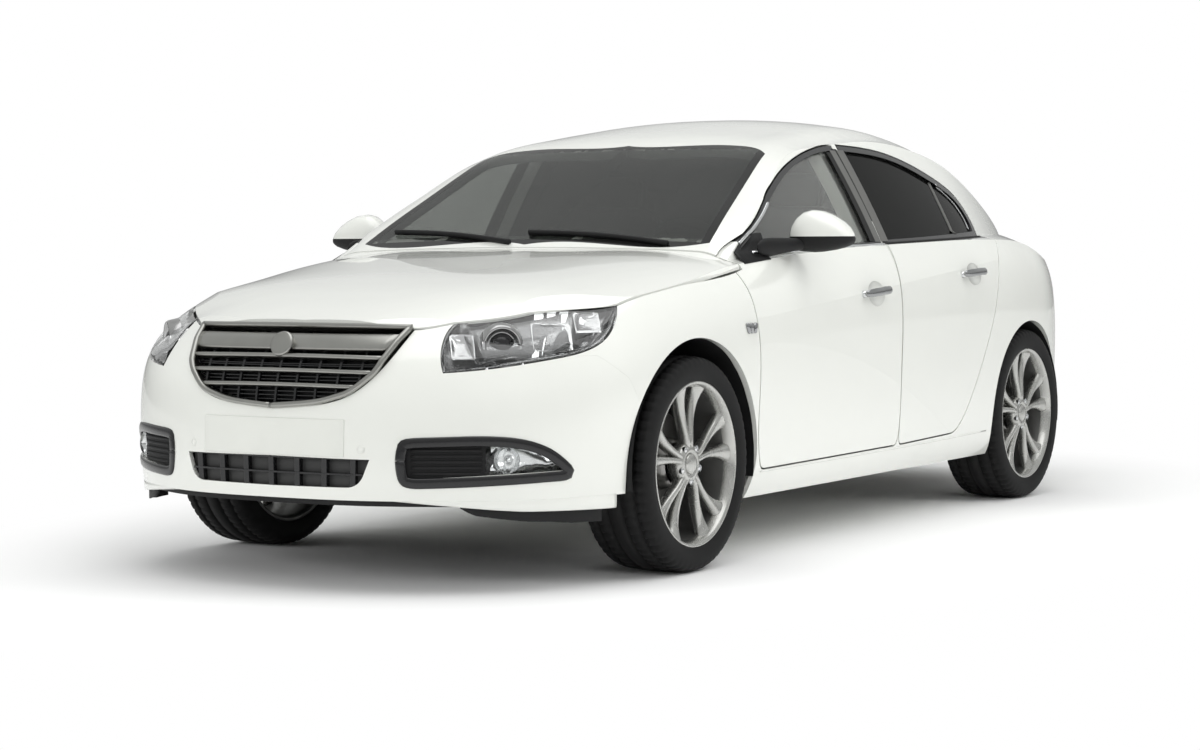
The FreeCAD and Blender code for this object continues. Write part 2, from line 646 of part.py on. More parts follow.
def build_rear():
    bumper = shells["lower"].common(plain_side_prism(REAR_BUMPER_SIDE)).common(box(-50, 1100, 1400, 2600, 236, 700))
    bumper = bumper.cut(shells["skin"])
    bumper = bumper.cut(rear_wheel_space())
    add("rear_bumper", whole(keep_large(bumper)))
    lid = shells["outer"].common(lid_block()).cut(shells["skin"]).cut(box(-50, 900, 1500, 1897, 300, 1500))
    add("boot_lid", whole(keep_large(lid)))
    lamp = keep_large(shells["outer"].common(tail_lamp_block()).cut(rings(50).common(box(-20, 1100, 1400, 2600, 700, 990))))
    add("tail_lamps", Part.makeCompound([lamp, mirror_x(lamp)]))


def primitive(kind, label, placement, bindings, listed=True):
    """A Part primitive whose sizes are bound to the sheet."""
    item = doc.addObject("Part::" + kind, label)
    item.Label = label
    for name, expression in bindings.items():
        item.setExpression(name, expression)
    item.Placement = placement
    if listed:
        parts.append(item)
    return item


def place(x, y, z, axis=(0, 0, 1), degrees=0.0):
    return Placement(Vector(x, y, z), Rotation(Vector(*axis), degrees))


def joined(label, pieces, kind="MultiFuse"):
    item = doc.addObject("Part::" + kind, label)
    item.Label = label
    item.Shapes = pieces
    parts.append(item)
    return item


def origin_plane(body, role):
    for feature in body.Origin.OriginFeatures:
        if feature.Role == role:
            return feature


def sketch(body, name, role, points, offset=0.0):
    """Closed polygon on an origin plane of the body."""
    item = body.newObject("Sketcher::SketchObject", name)
    item.AttachmentSupport = [(origin_plane(body, role), "")]
    item.MapMode = "FlatFace"
    item.AttachmentOffset = place(0, 0, offset)
    count = len(points)
    for i in range(count):
        (u0, v0), (u1, v1) = points[i], points[(i + 1) % count]
        item.addGeometry(Part.LineSegment(Vector(u0, v0, 0), Vector(u1, v1, 0)), False)
    return item


def new_body(label, placement):
    body = doc.addObject("PartDesign::Body", label)
    body.Label = label
    body.Placement = placement
    parts.append(body)
    return body


def revolved(body, name, points):
    """Profile in (axle direction, radius) turned about the axle, which is X."""
    profile = sketch(body, name + "Profile", "XY_Plane", points)
    turn = body.newObject("PartDesign::Revolution", name)
    turn.Profile = profile
    turn.ReferenceAxis = (profile, ["H_Axis"])
    turn.Angle = 360
    return turn


def padded(body, name, role, points, length, both_ways=False, offset=0.0):
    profile = sketch(body, name + "Outline", role, points, offset)
    pad = body.newObject("PartDesign::Pad", name)
    pad.Profile = profile
    if isinstance(length, str):
        pad.setExpression("Length", length)
    else:
        pad.Length = length
    pad.Midplane = both_ways
    return pad


WHEEL_X = TRACK / 2
HALF_TYRE = TYRE_WIDTH / 2
HALF_RIM = size("rim_width") / 2
BEAD = size("tyre_bead_radius")
LIP = size("rim_lip_radius")
DISC = size("disc_radius")
DISC_INNER, DISC_OUTER = -44.0, -44.0 + size("disc_thickness")
RUNNING_GAP = 0.5
SPOKE_COUNT = 5
SPOKE_FACE = 62.0
SPOKE_DEPTH = 36.0


def make_tyre(label, placement):
    body = new_body(label, placement)
    half = [(HALF_RIM - 5, BEAD), (HALF_RIM - 5, LIP + 2), (HALF_TYRE, BEAD + 38), (HALF_TYRE - 5, TYRE_RADIUS - 20),
            (HALF_TYRE - 20, TYRE_RADIUS - 4), (HALF_TYRE - 70, TYRE_RADIUS)]
    revolved(body, "Carcass", half + [(-a, r) for a, r in reversed(half)])


def make_rim(label, placement):
    body = new_body(label, placement)
    seat = BEAD - FIT
    barrel = [(HALF_RIM, LIP), (HALF_RIM - 5 + FIT, LIP), (HALF_RIM - 5 + FIT, seat), (-HALF_RIM + 5 - FIT, seat),
              (-HALF_RIM + 5 - FIT, LIP), (-HALF_RIM, LIP), (-HALF_RIM, seat - 8), (HALF_RIM, seat - 8)]
    revolved(body, "Barrel", barrel)
    hub = [(DISC_INNER, 0), (DISC_INNER, DISC), (DISC_OUTER, DISC), (DISC_OUTER, 70), (SPOKE_FACE + 10, 70),
           (SPOKE_FACE + 22, 52), (SPOKE_FACE + 22, 0)]
    revolved(body, "Hub", hub)
    reach = seat - 4
    arm = [(4, 48), (34, 40), (74, reach - 12), (36, reach - 2)]
    left = padded(body, "SpokeLeft", "YZ_Plane", [(-y, z) for y, z in arm], SPOKE_DEPTH, False, SPOKE_FACE)
    right = padded(body, "SpokeRight", "YZ_Plane", arm, SPOKE_DEPTH, False, SPOKE_FACE)
    pattern = body.newObject("PartDesign::PolarPattern", "Spokes")
    pattern.Originals = [left, right]
    pattern.Axis = (origin_plane(body, "X_Axis"), [""])
    pattern.Angle = 360
    pattern.Occurrences = SPOKE_COUNT
    body.Tip = pattern


def wheel_placements():
    for end, axle_y in (("front", FRONT_AXLE), ("rear", REAR_AXLE)):
        yield end + "_left", place(WHEEL_X, axle_y, TYRE_RADIUS)
        yield end + "_right", place(-WHEEL_X, axle_y, TYRE_RADIUS, (0, 0, 1), 180)


def build_wheels():
    for name, placement in wheel_placements():
        make_tyre("tyre_" + name, placement)
        make_rim("rim_" + name, placement)


def build_knuckles():
    for side, name in ((1, "left"), (-1, "right")):
        body = new_body("knuckle_" + name, place(side * WHEEL_X, FRONT_AXLE, TYRE_RADIUS, (0, 0, 1), 0 if side > 0 else 180))
        inner = DISC_INNER - RUNNING_GAP
        revolved(body, "Bearing", [(inner - 60, 0), (inner - 60, 38), (inner - 22, 62), (inner, 62), (inner, 0)])
        padded(body, "Upright", "YZ_Plane", [(-30, -124), (30, -124), (34, 0), (26, 120), (-26, 120), (-34, 0)], 24, False,
               inner - 52)


COLUMN_TILT = 25.0


def build_chassis():
    """Subframe with its lower arms and struts, rear axle and exhaust."""
    y = FRONT_AXLE
    cross = Part.makeBox(760, 240, 70, Vector(-380, y - 60, 175))
    pieces = [cross]
    for side in (1, -1):
        low = TYRE_RADIUS - 124 - RUNNING_GAP - 30
        arm = [(340, -40), (712, -32), (712, 32), (340, 170), (340, -40)]
        face = Part.Face(Part.makePolygon([Vector(side * x, y + along_y, low) for x, along_y in arm]))
        pieces.append(face.extrude(Vector(0, 0, 30)))
        pieces.append(Part.makeBox(60, 80, 58 - FIT, Vector(side * 200 - 30, y - 30, 242)))
        pieces.append(Part.makeCylinder(36, 520, Vector(side * 570, y, 205)))
        pieces.append(Part.makeBox(76, 494, 80, Vector(side * 408 - 38, y - 130, 243)))
    add("front_subframe", pieces[0].fuse(pieces[1:]))
    y = REAR_AXLE
    beam = Part.makeBox(900, 120, 90, Vector(-450, y - 60, 270))
    pieces = [beam]
    for side in (1, -1):
        hub_start = side * (WHEEL_X + DISC_INNER - RUNNING_GAP)
        pieces.append(Part.makeCylinder(40, abs(hub_start) - 440, Vector(hub_start, y, TYRE_RADIUS), Vector(-side, 0, 0)))
        pieces.append(Part.makeBox(60, 320, 60, Vector(side * 520 - 30, y - 302, 250)))
        pieces.append(Part.makeBox(120, 90, 130, Vector(side * 488 - 60, y - 45, 260)))
    add("rear_axle", pieces[0].fuse(pieces[1:]))
    radius = size("exhaust_radius")
    pipe = Part.makeCylinder(radius, 2900, Vector(150, FRONT_AXLE + 315, 195), Vector(0, 1, 0))
    silencer = Part.makeBox(560, 200, 130, Vector(-140, 1760, 152))
    tail = Part.makeCylinder(radius, 530, Vector(330, 1850, 198), Vector(0, 1, 0))
    add("exhaust", pipe.fuse([silencer, tail]))


def seat_profile(y, base):
    return [(y, base), (y + 430, base + 4), (y + 560, base + 40), (y + 780, base + 640), (y + 690, base + 670),
            (y + 480, base + 190), (y + 20, base + 175), (y - 20, base + 120)]


def build_cabin():
    floor_top = FLOOR + FLOOR_THICKNESS
    seats = []
    for side in (1, -1):
        body = padded_seat(side * 380, 500, seat_profile(-480, floor_top + 180))
        head = Part.makeBox(260, 90, 170, Vector(side * 380 - 130, 225, floor_top + 860))
        post = Part.makeBox(60, 40, 90, Vector(side * 380 - 30, 240, floor_top + 800))
        foot = Part.makeBox(420, 400, 182, Vector(side * 380 - 210, -440, floor_top))
        seats.append(body.fuse([head, post, foot]))
    add("front_seats", Part.makeCompound(seats))
    bench = padded_seat(0, 1180, [(430, floor_top), (900, floor_top), (1180, 900), (1090, 910), (930, 560), (460, 540)])
    add("rear_seat", bench)
    body = new_body("dashboard", place(0, 0, 0))
    profile = [(-925, 620), (-925, 965), (-870, 972), (-700, 935), (-640, 890), (-650, 760), (-740, 640)]
    padded(body, "Fascia", "YZ_Plane", [(map_y(a), map_z(b)) for a, b in profile], 1380, True)
    console = [(-900, 256.3), (-900, 700), (-700, 660), (-560, 500), (-100, 470), (-60, 256.3)]
    padded(body, "Console", "YZ_Plane", [(map_y(a), map_z(b)) for a, b in console], 220, True)
    engine = primitive("Box", "engine", place(-330, FRONT_AXLE - 330, 300), {})
    engine.Length, engine.Width, engine.Height = 660, 620, 470


def build_steering_wheel():
    """Ring, boss and three spokes; the local X axis points along the column to the driver."""
    at_driver = Placement(Vector(map_x(380), map_y(-470), map_z(930)),
                          Rotation(Vector(1, 0, 0), COLUMN_TILT).multiply(Rotation(Vector(0, 0, 1), 90)))
    body = new_body("steering_wheel", at_driver)
    ring, thick = size("steering_wheel_radius"), size("steering_rim_radius")
    revolved(body, "Boss", [(-175, 0), (-175, 24), (-34, 24), (-30, 66), (6, 66), (14, 50), (14, 0)])
    padded(body, "SpokeAcross", "YZ_Plane", [(-ring, -20), (ring, -20), (ring, 20), (-ring, 20)], 16, True)
    padded(body, "SpokeDown", "YZ_Plane", [(-18, -ring), (18, -ring), (18, 0), (-18, 0)], 16, True)
    corners = [math.radians(22.5 + 45 * i) for i in range(8)]
    revolved(body, "Ring", [(thick * math.cos(a), ring + thick * math.sin(a)) for a in corners])


def padded_seat(x, width, profile):
    points = [Vector(x - width / 2, map_y(y), z) for y, z in profile]
    block = Part.Face(Part.makePolygon(points + [points[0]])).extrude(Vector(width, 0, 0))
    long_edges = [edge for edge in block.Edges if edge.BoundBox.XLength > width - 1]
    return block.makeFillet(26, long_edges[2:])


MIRROR_HEAD = [
    [(868, 1062), (880, 1030), (935, 1024), (1030, 1036), (1064, 1058)],
    [(1064, 1058), (1060, 1100), (1035, 1128), (960, 1142), (900, 1132), (868, 1062)],
]


def build_mirrors():
    wire = outline_wire(mapped_runs(MIRROR_HEAD, map_x, map_z), 0, lambda p: Vector(p.x, map_y(-660), p.y))
    head = Part.Face(wire).extrude(Vector(0, 105, 0))
    stalk = Part.makePolygon([Vector(map_x(x), map_y(-628), map_z(z)) for x, z in
                              ((836, 1000), (900, 1040), (960, 1060), (960, 1030), (905, 1002), (868, 955), (836, 1000))])
    foot = Part.Face(stalk).extrude(Vector(0, 60, 0)).cut(side_prism(FRONT_DOOR, 50).common(shells["outer"]))
    mirror = keep_large(head.fuse(foot))
    add("mirror_left", mirror)
    add("mirror_right", mirror_x(mirror))


def build_nose():
    """Grille frame with its bars and cells, the lower intake and the fog lamps."""
    proud = rings(-5)
    deep = rings(46)
    frame = front_prism(GRILLE).cut(front_prism(GRILLE_OPENING))
    bars = [box(-20, 380, -2700, -1900, z, z + 14) for z in (604, 646, 688)]
    top_bar = box(-20, 380, -2700, -1900, 712, 764)
    cells = [box(x, x + 8, -2700, -1900, 560, 770) for x in range(0, 360, 60)]
    ribs = [box(-20, 380, -2700, -1900, z, z + 5) for z in (624, 667, 585)]
    opening = front_prism(GRILLE_OPENING)
    face = proud.cut(shells["skin"])
    tip = [(-2415, 400), (-2415, 556), (-2389, 600), (-2300, 600), (-2300, 400), (-2415, 400)]
    wedge = Part.Face(Part.makePolygon([at(-50, y, z) for y, z in tip])).extrude(Vector(500, 0, 0))
    chin = rings(-27).cut(shells["skin"]).common(frame).common(wedge)
    bright = face.common(frame.fuse([opening.common(bar) for bar in bars + [top_bar]])).fuse(chin)
    mesh = rings(8).cut(deep).common(opening.common(cells[0].fuse(cells[1:] + ribs)))
    grille = bright.fuse(mesh).cut(top_prism(BONNET, BONNET_GAP))
    add("grille", whole(keep_large(grille, 1e4)))
    recess = rings(10).cut(deep)
    intake = front_prism(INTAKE)
    posts = [box(x, x + 12, -2700, -1900, 300, 410) for x in (20, 80, 140, 200, 260)]
    bars = [box(-20, 400, -2700, -1900, z, z + 8) for z in (318, 356, 392)]
    lattice = recess.common(intake.common(posts[0].fuse(posts[1:] + bars)))
    add("lower_grille", whole(keep_large(lattice, 1e4)))
    pod = rings(10).cut(deep).common(front_prism(POD, 0, -2700, -1800))
    lamp = pod.common(box(640, 1100, -2700, -1700, 300, 500))
    vent = pod.cut(box(640 - FIT, 1100, -2700, -1700, 300, 500))
    add("fog_lamps", Part.makeCompound([keep_large(lamp), mirror_x(keep_large(lamp))]))
    add("fog_vents", Part.makeCompound([keep_large(vent), mirror_x(keep_large(vent))]))
    lip = rings(14).common(box(-50, 1100, -2600, -1850, 262, 279 - FIT)).cut(front_wheel_space(4))
    add("front_lip", whole(keep_large(lip, 1e4)))


def check_model():
    doc.recompute()
    for item in doc.Objects:
        if "Invalid" in item.State or "Error" in item.State:
            raise RuntimeError("failed: " + item.Label)
    for part in parts:
        shape = part.Shape
        if shape.isNull() or not shape.isValid() or not shape.Solids:
            raise RuntimeError("bad shape: " + part.Label)


def main():
    steps = (build_volumes, build_body, build_front, build_nose, build_bonnet, build_doors, build_glass,
             build_rear, build_mirrors, build_wheels, build_knuckles, build_chassis, build_cabin,
             build_steering_wheel)
    for step in steps:
        step()
    check_model()
    os.makedirs("parts", exist_ok=True)
    for part in parts:
        part.Shape.exportStep("parts/" + part.Label + ".step")


main()
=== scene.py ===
import math
from contextlib import contextmanager

import bmesh
import bpy
from mathutils import Matrix, Vector
from mathutils.bvhtree import BVHTree


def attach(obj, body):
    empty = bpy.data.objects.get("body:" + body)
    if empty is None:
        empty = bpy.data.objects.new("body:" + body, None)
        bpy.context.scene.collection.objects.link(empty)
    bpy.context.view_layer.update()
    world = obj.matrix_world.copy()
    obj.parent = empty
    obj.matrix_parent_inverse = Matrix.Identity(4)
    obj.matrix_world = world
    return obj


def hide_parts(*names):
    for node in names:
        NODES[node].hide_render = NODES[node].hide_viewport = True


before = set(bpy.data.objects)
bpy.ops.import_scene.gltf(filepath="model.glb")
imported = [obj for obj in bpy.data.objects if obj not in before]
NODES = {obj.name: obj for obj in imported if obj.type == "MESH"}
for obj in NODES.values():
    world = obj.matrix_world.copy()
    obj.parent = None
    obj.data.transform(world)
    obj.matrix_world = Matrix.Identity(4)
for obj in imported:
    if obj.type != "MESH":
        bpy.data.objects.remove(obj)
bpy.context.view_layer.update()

# White four-door saloon car. Metres, front towards -Y, the car's left at +X, ground at Z = 0.

SIDES = (("left", 1), ("right", -1))
UP = Vector((0, 0, 1))

# Measures shared by several pieces.
TRACK_X = 0.7925
FRONT_AXLE_Y, REAR_AXLE_Y = -1.415, 1.322
TYRE_RADIUS = 0.339


# Materials

def add_node(owner, kind, **values):
    node = owner.node_tree.nodes.new(kind)
    for key, value in values.items():
        if key in node.inputs:
            node.inputs[key].default_value = value
        else:
            setattr(node, key, value)
    return node


def link(owner, source, target):
    owner.node_tree.links.new(source, target)


def shader_of(material):
    return material.node_tree.nodes["Principled BSDF"]


def surface(name, color, roughness, metallic, grain, **settings):
    """Material with grain: (scale, bump, distance, tint, tint scale, stretch) of surface_detail."""
    material = bpy.data.materials.new(name)
    material.use_nodes = True
    inputs = shader_of(material).inputs
    inputs["Base Color"].default_value = (*color, 1)
    inputs["Roughness"].default_value = roughness
    inputs["Metallic"].default_value = metallic
    for key, value in settings.items():
        inputs[key.replace("_", " ")].default_value = value
    return surface_detail(material, *grain)


def surface_detail(material, scale, bump, distance, tint, tint_scale, stretch=(1, 1, 1)):
    """Fine grain as bump, and a slow change of colour and roughness, both in object space."""
    shader = shader_of(material)
    coords = add_node(material, "ShaderNodeTexCoord")
    mapping = add_node(material, "ShaderNodeMapping", Scale=stretch)
    link(material, coords.outputs["Object"], mapping.inputs["Vector"])
    grain = add_node(material, "ShaderNodeTexNoise", Scale=scale, Detail=3.0)
    link(material, mapping.outputs["Vector"], grain.inputs["Vector"])
    relief = add_node(material, "ShaderNodeBump", Strength=bump, Distance=distance)
    link(material, grain.outputs["Fac"], relief.inputs["Height"])
    link(material, relief.outputs["Normal"], shader.inputs["Normal"])
    slow = add_node(material, "ShaderNodeTexNoise", Scale=tint_scale, Detail=4.0)
    link(material, coords.outputs["Object"], slow.inputs["Vector"])
    ramp = add_node(material, "ShaderNodeValToRGB")
    base = shader.inputs["Base Color"].default_value
    for element, factor, place in zip(ramp.color_ramp.elements, (1 - tint, 1 + tint), (0.35, 0.65)):
        element.color = (*[min(c * factor, 1.0) for c in base[:3]], 1)
        element.position = place
    link(material, slow.outputs["Fac"], ramp.inputs["Fac"])
    link(material, ramp.outputs["Color"], shader.inputs["Base Color"])
    rough = shader.inputs["Roughness"].default_value
    spread = add_node(material, "ShaderNodeMapRange", **{"To Min": rough * 0.85, "To Max": min(rough * 1.15, 1.0)})
    link(material, slow.outputs["Fac"], spread.inputs["Value"])
    link(material, spread.outputs["Result"], shader.inputs["Roughness"])
    return material


def grey(value):
    return (value, value, value)


WHITE, INNER_WHITE = (0.76, 0.77, 0.73), (0.6, 0.61, 0.58)
PAINT_GRAIN, INNER_GRAIN = (900, 0.02, 0.0002, 0.012, 1.3), (300, 0.08, 0.0004, 0.05, 5)
PAINT_COAT = {"Coat_Weight": 1.0, "Coat_Roughness": 0.03}
PAINT = surface("white_paint", WHITE, 0.25, 0, PAINT_GRAIN, **PAINT_COAT)
BLACK = surface("black_plastic", (0.009, 0.009, 0.0095), 0.6, 0, (1400, 0.25, 0.0004, 0.15, 12),
                Specular_IOR_Level=0.3)
GLOSS_BLACK = surface("gloss_black", (0.006, 0.006, 0.007), 0.25, 0, (600, 0.03, 0.0002, 0.1, 6), Coat_Weight=0.15)
# Dark grey of the sheet behind the lower intake: painted shade for the space behind it.
INTAKE_SHADE_GREY = surface("intake_shade_grey", grey(0.035), 0.55, 0, (900, 0.2, 0.0004, 0.12, 9))
PILLAR_GREY = surface("pillar_film", (0.10, 0.10, 0.095), 0.45, 0, (900, 0.1, 0.0003, 0.08, 9))
CHROME = surface("chrome", (0.72, 0.73, 0.74), 0.08, 1, (300, 0.02, 0.0002, 0.03, 8))
DARK_CHROME = surface("dark_chrome", (0.34, 0.345, 0.35), 0.1, 1, (300, 0.02, 0.0002, 0.04, 8))
SATIN_CHROME = surface("satin_chrome", (0.36, 0.36, 0.34), 0.3, 1, (900, 0.06, 0.0002, 0.05, 9, (1, 1, 14)))
ALLOY = surface("wheel_alloy", (0.5, 0.5, 0.48), 0.27, 0.92, (1500, 0.06, 0.0002, 0.05, 14),
                Coat_Weight=0.5, Coat_Roughness=0.06)
ALLOY_DARK = surface("barrel_alloy", (0.2, 0.2, 0.195), 0.42, 0.85, (700, 0.08, 0.0003, 0.12, 10))
IRON = surface("cast_iron", (0.09, 0.088, 0.085), 0.6, 0.6, (260, 0.5, 0.001, 0.25, 14))
DISC_STEEL = surface("disc_steel", (0.3, 0.295, 0.285), 0.3, 1, (240, 0.15, 0.0003, 0.08, 20))
EXHAUST_STEEL = surface("exhaust_steel", (0.34, 0.32, 0.3), 0.38, 0.95, (120, 0.2, 0.0006, 0.18, 6))
RUBBER = surface("tyre_rubber", (0.007, 0.007, 0.0072), 0.72, 0, (500, 0.3, 0.0004, 0.25, 9), Specular_IOR_Level=0.3)
SEAL = surface("seal_rubber", grey(0.008), 0.7, 0, (700, 0.2, 0.0004, 0.1, 9))
FABRIC = surface("seat_fabric", (0.05, 0.05, 0.052), 0.85, 0, (850, 0.7, 0.0012, 0.25, 60),
                 Sheen_Weight=0.5, Sheen_Roughness=0.5)
DASH = surface("dash_plastic", (0.028, 0.028, 0.03), 0.62, 0, (420, 0.6, 0.0008, 0.12, 8))
LEATHER = surface("wheel_leather", (0.022, 0.021, 0.021), 0.5, 0, (380, 0.5, 0.0007, 0.15, 10), Coat_Weight=0.1)
BLANK_PLATE = surface("blank_plate", (0.7, 0.71, 0.67), 0.35, 0, (500, 0.04, 0.0002, 0.02, 4))
ENGINE = surface("engine_alloy", grey(0.16), 0.5, 0.7, (90, 0.5, 0.002, 0.2, 7))
LAMP_GREY = surface("lamp_grey", grey(0.2), 0.25, 0.8, (300, 0.05, 0.0003, 0.1, 20))
LAMP_CHROME = surface("lamp_chrome", grey(0.42), 0.16, 1, (60, 0.25, 0.002, 0.1, 25))
REFLECTOR = surface("lamp_reflector", (0.72, 0.73, 0.73), 0.12, 1, (60, 0.25, 0.002, 0.08, 25))


def glass(name, color, transmission, roughness=0.02, ior=1.45, coat=0.4):
    """Clear or tinted glass with a faint film, so that it is not one flat value."""
    return surface(name, color, roughness, 0, (3, 0.015, 0.002, 0.04, 2), Transmission_Weight=transmission, IOR=ior,
                   Coat_Weight=coat, Coat_Roughness=0.02)


DOOR_GLASS = glass("door_glass", (0.8, 0.82, 0.79), 0.96, ior=1.35, coat=0.1)
DARK_TINTED = glass("dark_glass", (0.02, 0.021, 0.02), 0.8, 0.03, 1.12, 0.02)
CLEAR = glass("lamp_glass", (0.95, 0.96, 0.96), 1.0, 0.01, 1.2)
RED_LENS = glass("red_lens", (0.14, 0.012, 0.014), 0.6, 0.06)


class Reading:
    """A number on its way through a material's nodes; each step adds one Math node."""

    def __init__(self, material, socket):
        self.material, self.socket = material, socket

    def step(self, operation, *others):
        return self.joined(operation, self, *others)

    def joined(self, operation, *values):
        node = add_node(self.material, "ShaderNodeMath", operation=operation)
        for slot, value in zip(node.inputs, values):
            if isinstance(value, Reading):
                link(self.material, value.socket, slot)
            else:
                slot.default_value = value
        return Reading(self.material, node.outputs[0])

    def __add__(self, other):
        return self.step("ADD", other)

    def __sub__(self, other):
        return self.step("SUBTRACT", other)

    def __rsub__(self, other):
        return self.joined("SUBTRACT", other, self)

    def __mul__(self, other):
        return self.step("MULTIPLY", other)

    def __truediv__(self, other):
        return self.step("DIVIDE", other)

    def __pow__(self, other):
        return self.step("POWER", other)

    def __gt__(self, other):
        return self.step("GREATER_THAN", other)

    def __lt__(self, other):
        return self.step("LESS_THAN", other)

    def __abs__(self):
        return self.step("ABSOLUTE")

    def either(self, other):
        return self.step("MAXIMUM", other)

    def drive(self, setting):
        link(self.material, self.socket, shader_of(self.material).inputs[setting])


def object_axes(material):
    coords = add_node(material, "ShaderNodeTexCoord")
    split = add_node(material, "ShaderNodeSeparateXYZ")
    link(material, coords.outputs["Object"], split.inputs["Vector"])
    return [Reading(material, split.outputs[axis]) for axis in "XYZ"]


def recolour(material, mask, color):
    """The base colour becomes color where mask is 1."""
    base = shader_of(material).inputs["Base Color"]
    mix = add_node(material, "ShaderNodeMix", data_type="RGBA")
    link(material, mask.socket, mix.inputs["Factor"])
    link(material, base.links[0].from_socket, mix.inputs[6])
    mix.inputs[7].default_value = (*color, 1)
    link(material, mix.outputs[2], base)
    return material


def two_tone_door():
    """Door paint that turns into the black frame above the belt line, with the lines pressed into the skin."""
    material = surface("door_paint", WHITE, 0.25, 0, PAINT_GRAIN, **PAINT_COAT)
    x, y, z = object_axes(material)
    mask = (z - y * BELT_SLOPE > BELT_Z) * (y > FRAME_START_Y)
    mask.step("MULTIPLY_ADD", -0.8, 1.0).drive("Coat Weight")
    recolour(material, mask, (0.012, 0.012, 0.013))
    bump = add_node(material, "ShaderNodeBump", Strength=1.0, Distance=1.0)
    link(material, press_lines(y, z).socket, bump.inputs["Height"])
    grain = shader_of(material).inputs["Normal"].links[0].from_node
    link(material, bump.outputs["Normal"], grain.inputs["Normal"])
    return material


def ridge(distance, width, height):
    """Soft ridge along the line where distance is zero."""
    return (1.0 - abs(distance) / width).either(0.0) ** 1.6 * height


def grip_bowl(y, z, centre_y, centre_z, half_length, half_height, depth):
    """Oval hollow behind a door handle."""
    along, up = (y - centre_y) / half_length, (z - centre_z) / half_height
    return (1.0 - (along * along + up * up)).either(0.0) ** 0.75 * -depth


def press_lines(y, z):
    """Height of the shoulder line, the rising line at the sill and the hollows behind the handles."""
    total = ridge(z - y.step("MULTIPLY_ADD", 0.085, 0.868), 0.075, 0.0050)
    sweep = y - -0.98
    total += ridge(z - (sweep * sweep).step("MULTIPLY_ADD", -0.17, 0.700), 0.06, 0.0022)
    for place in ((-0.128, 0.846, 0.066, 0.044, 0.016), (0.760, 0.904, 0.064, 0.042, 0.016)):
        total += grip_bowl(y, z, *place)
    return total


def sealed_structure():
    """Body colour above, black underseal near the ground."""
    material = surface("inner_structure", INNER_WHITE, 0.45, 0, INNER_GRAIN)
    x, y, z = object_axes(material)
    return recolour(material, z < SEAL_HEIGHT, grey(0.014))


def bordered_screen(name, slope, flank_edge, bottom, top, forward):
    """Tinted screen with the opaque black band baked on along its edge; forward is 1 in front and -1 behind."""
    clearness = 0.95
    material = glass(name, (0.16, 0.17, 0.16), clearness, ior=1.3, coat=0.05)
    x, y, z = object_axes(material)
    y = y * forward
    flank = y.step("MULTIPLY_ADD", slope, abs(x))
    mask = (flank > flank_edge).either(y > top).either(y < bottom)
    recolour(material, mask, grey(0.01))
    ((1.0 - mask) * clearness).drive("Transmission Weight")
    return material


def shell_paint_with_painted_shade():
    """Body paint with painted shade: the narrow rib of the shell behind the middle of both screens is turned black,
    standing for the shaded cabin seen through the glass, and has no coat there.
    """
    material = PAINT.copy()
    material.name = "shell_paint_with_painted_shade"
    x, y, z = object_axes(material)
    behind_screens = y.step("COMPARE", -0.6345, 0.3165).either(y.step("COMPARE", 1.51, 0.28))
    # Painted shade: black on the rib behind the screens, for the shaded cabin behind the glass.
    mask = (abs(x) < RIB_HALF_WIDTH) * behind_screens
    recolour(material, mask, grey(0.01))
    (1.0 - mask).drive("Coat Weight")
    return material


BELT_Z, BELT_SLOPE, FRAME_START_Y = 1.0155, 0.0248, -0.905
SEAL_HEIGHT = 0.44
# Half width of the rib behind the screens that is painted black as shade.
RIB_HALF_WIDTH = 0.0085
SCREEN_GLASS = bordered_screen("screen_glass", 0.178, 0.498, -0.958, -0.318, 1)
REAR_GLASS = bordered_screen("rear_screen_glass", 0.225, 0.196, -1.790, -1.225, -1)
DOOR_PAINT = two_tone_door()
STRUCTURE = sealed_structure()


# Mesh helpers

def finish_object(name, mesh, material, body, smooth=True, bevel=0.0, subdivide=0, thickness=0.0):
    item = bpy.data.objects.new(name, mesh)
    bpy.context.collection.objects.link(item)
    for entry in material if isinstance(material, list) else [material]:
        mesh.materials.append(entry)
    for polygon in mesh.polygons:
        polygon.use_smooth = smooth
    if bevel:
        rounding = item.modifiers.new("rounding", "BEVEL")
        rounding.width = bevel
        rounding.segments = 2
        rounding.limit_method = "ANGLE"
        rounding.angle_limit = math.radians(35)
        rounding.harden_normals = False
    if subdivide:
        smoother = item.modifiers.new("smoother", "SUBSURF")
        smoother.levels = smoother.render_levels = subdivide
    if thickness:
        item.modifiers.new("thickness", "SOLIDIFY").thickness = thickness
    if body:
        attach(item, body)
    return item


def pair(name, make, material, body="body", **finish):
    """The same piece on both sides: make(sign) gives its mesh, and SIDE in body becomes left or right."""
    return [finish_object("%s_%s" % (name, side), make(sign), material, body.replace("SIDE", side), **finish)
            for side, sign in SIDES]


def mesh_from(name, vertices, faces):
    mesh = bpy.data.meshes.new(name)
    mesh.from_pydata([tuple(v) for v in vertices], [], faces)
    mesh.validate()
    mesh.update()
    return mesh


@contextmanager
def editing(mesh, source=None):
    """The mesh, or another source, as a bmesh that is written to the mesh at the end."""
    work = bmesh.new()
    work.from_mesh(source or mesh)
    yield work
    work.to_mesh(mesh)
    work.free()


def tidy_normals(mesh, merge=0.0):
    with editing(mesh) as work:
        if merge:
            bmesh.ops.remove_doubles(work, verts=work.verts, dist=merge)
        bmesh.ops.recalc_face_normals(work, faces=work.faces)
    return mesh


def mirrored(vertices, sign):
    return [Vector((v[0] * sign, v[1], v[2])) for v in vertices]


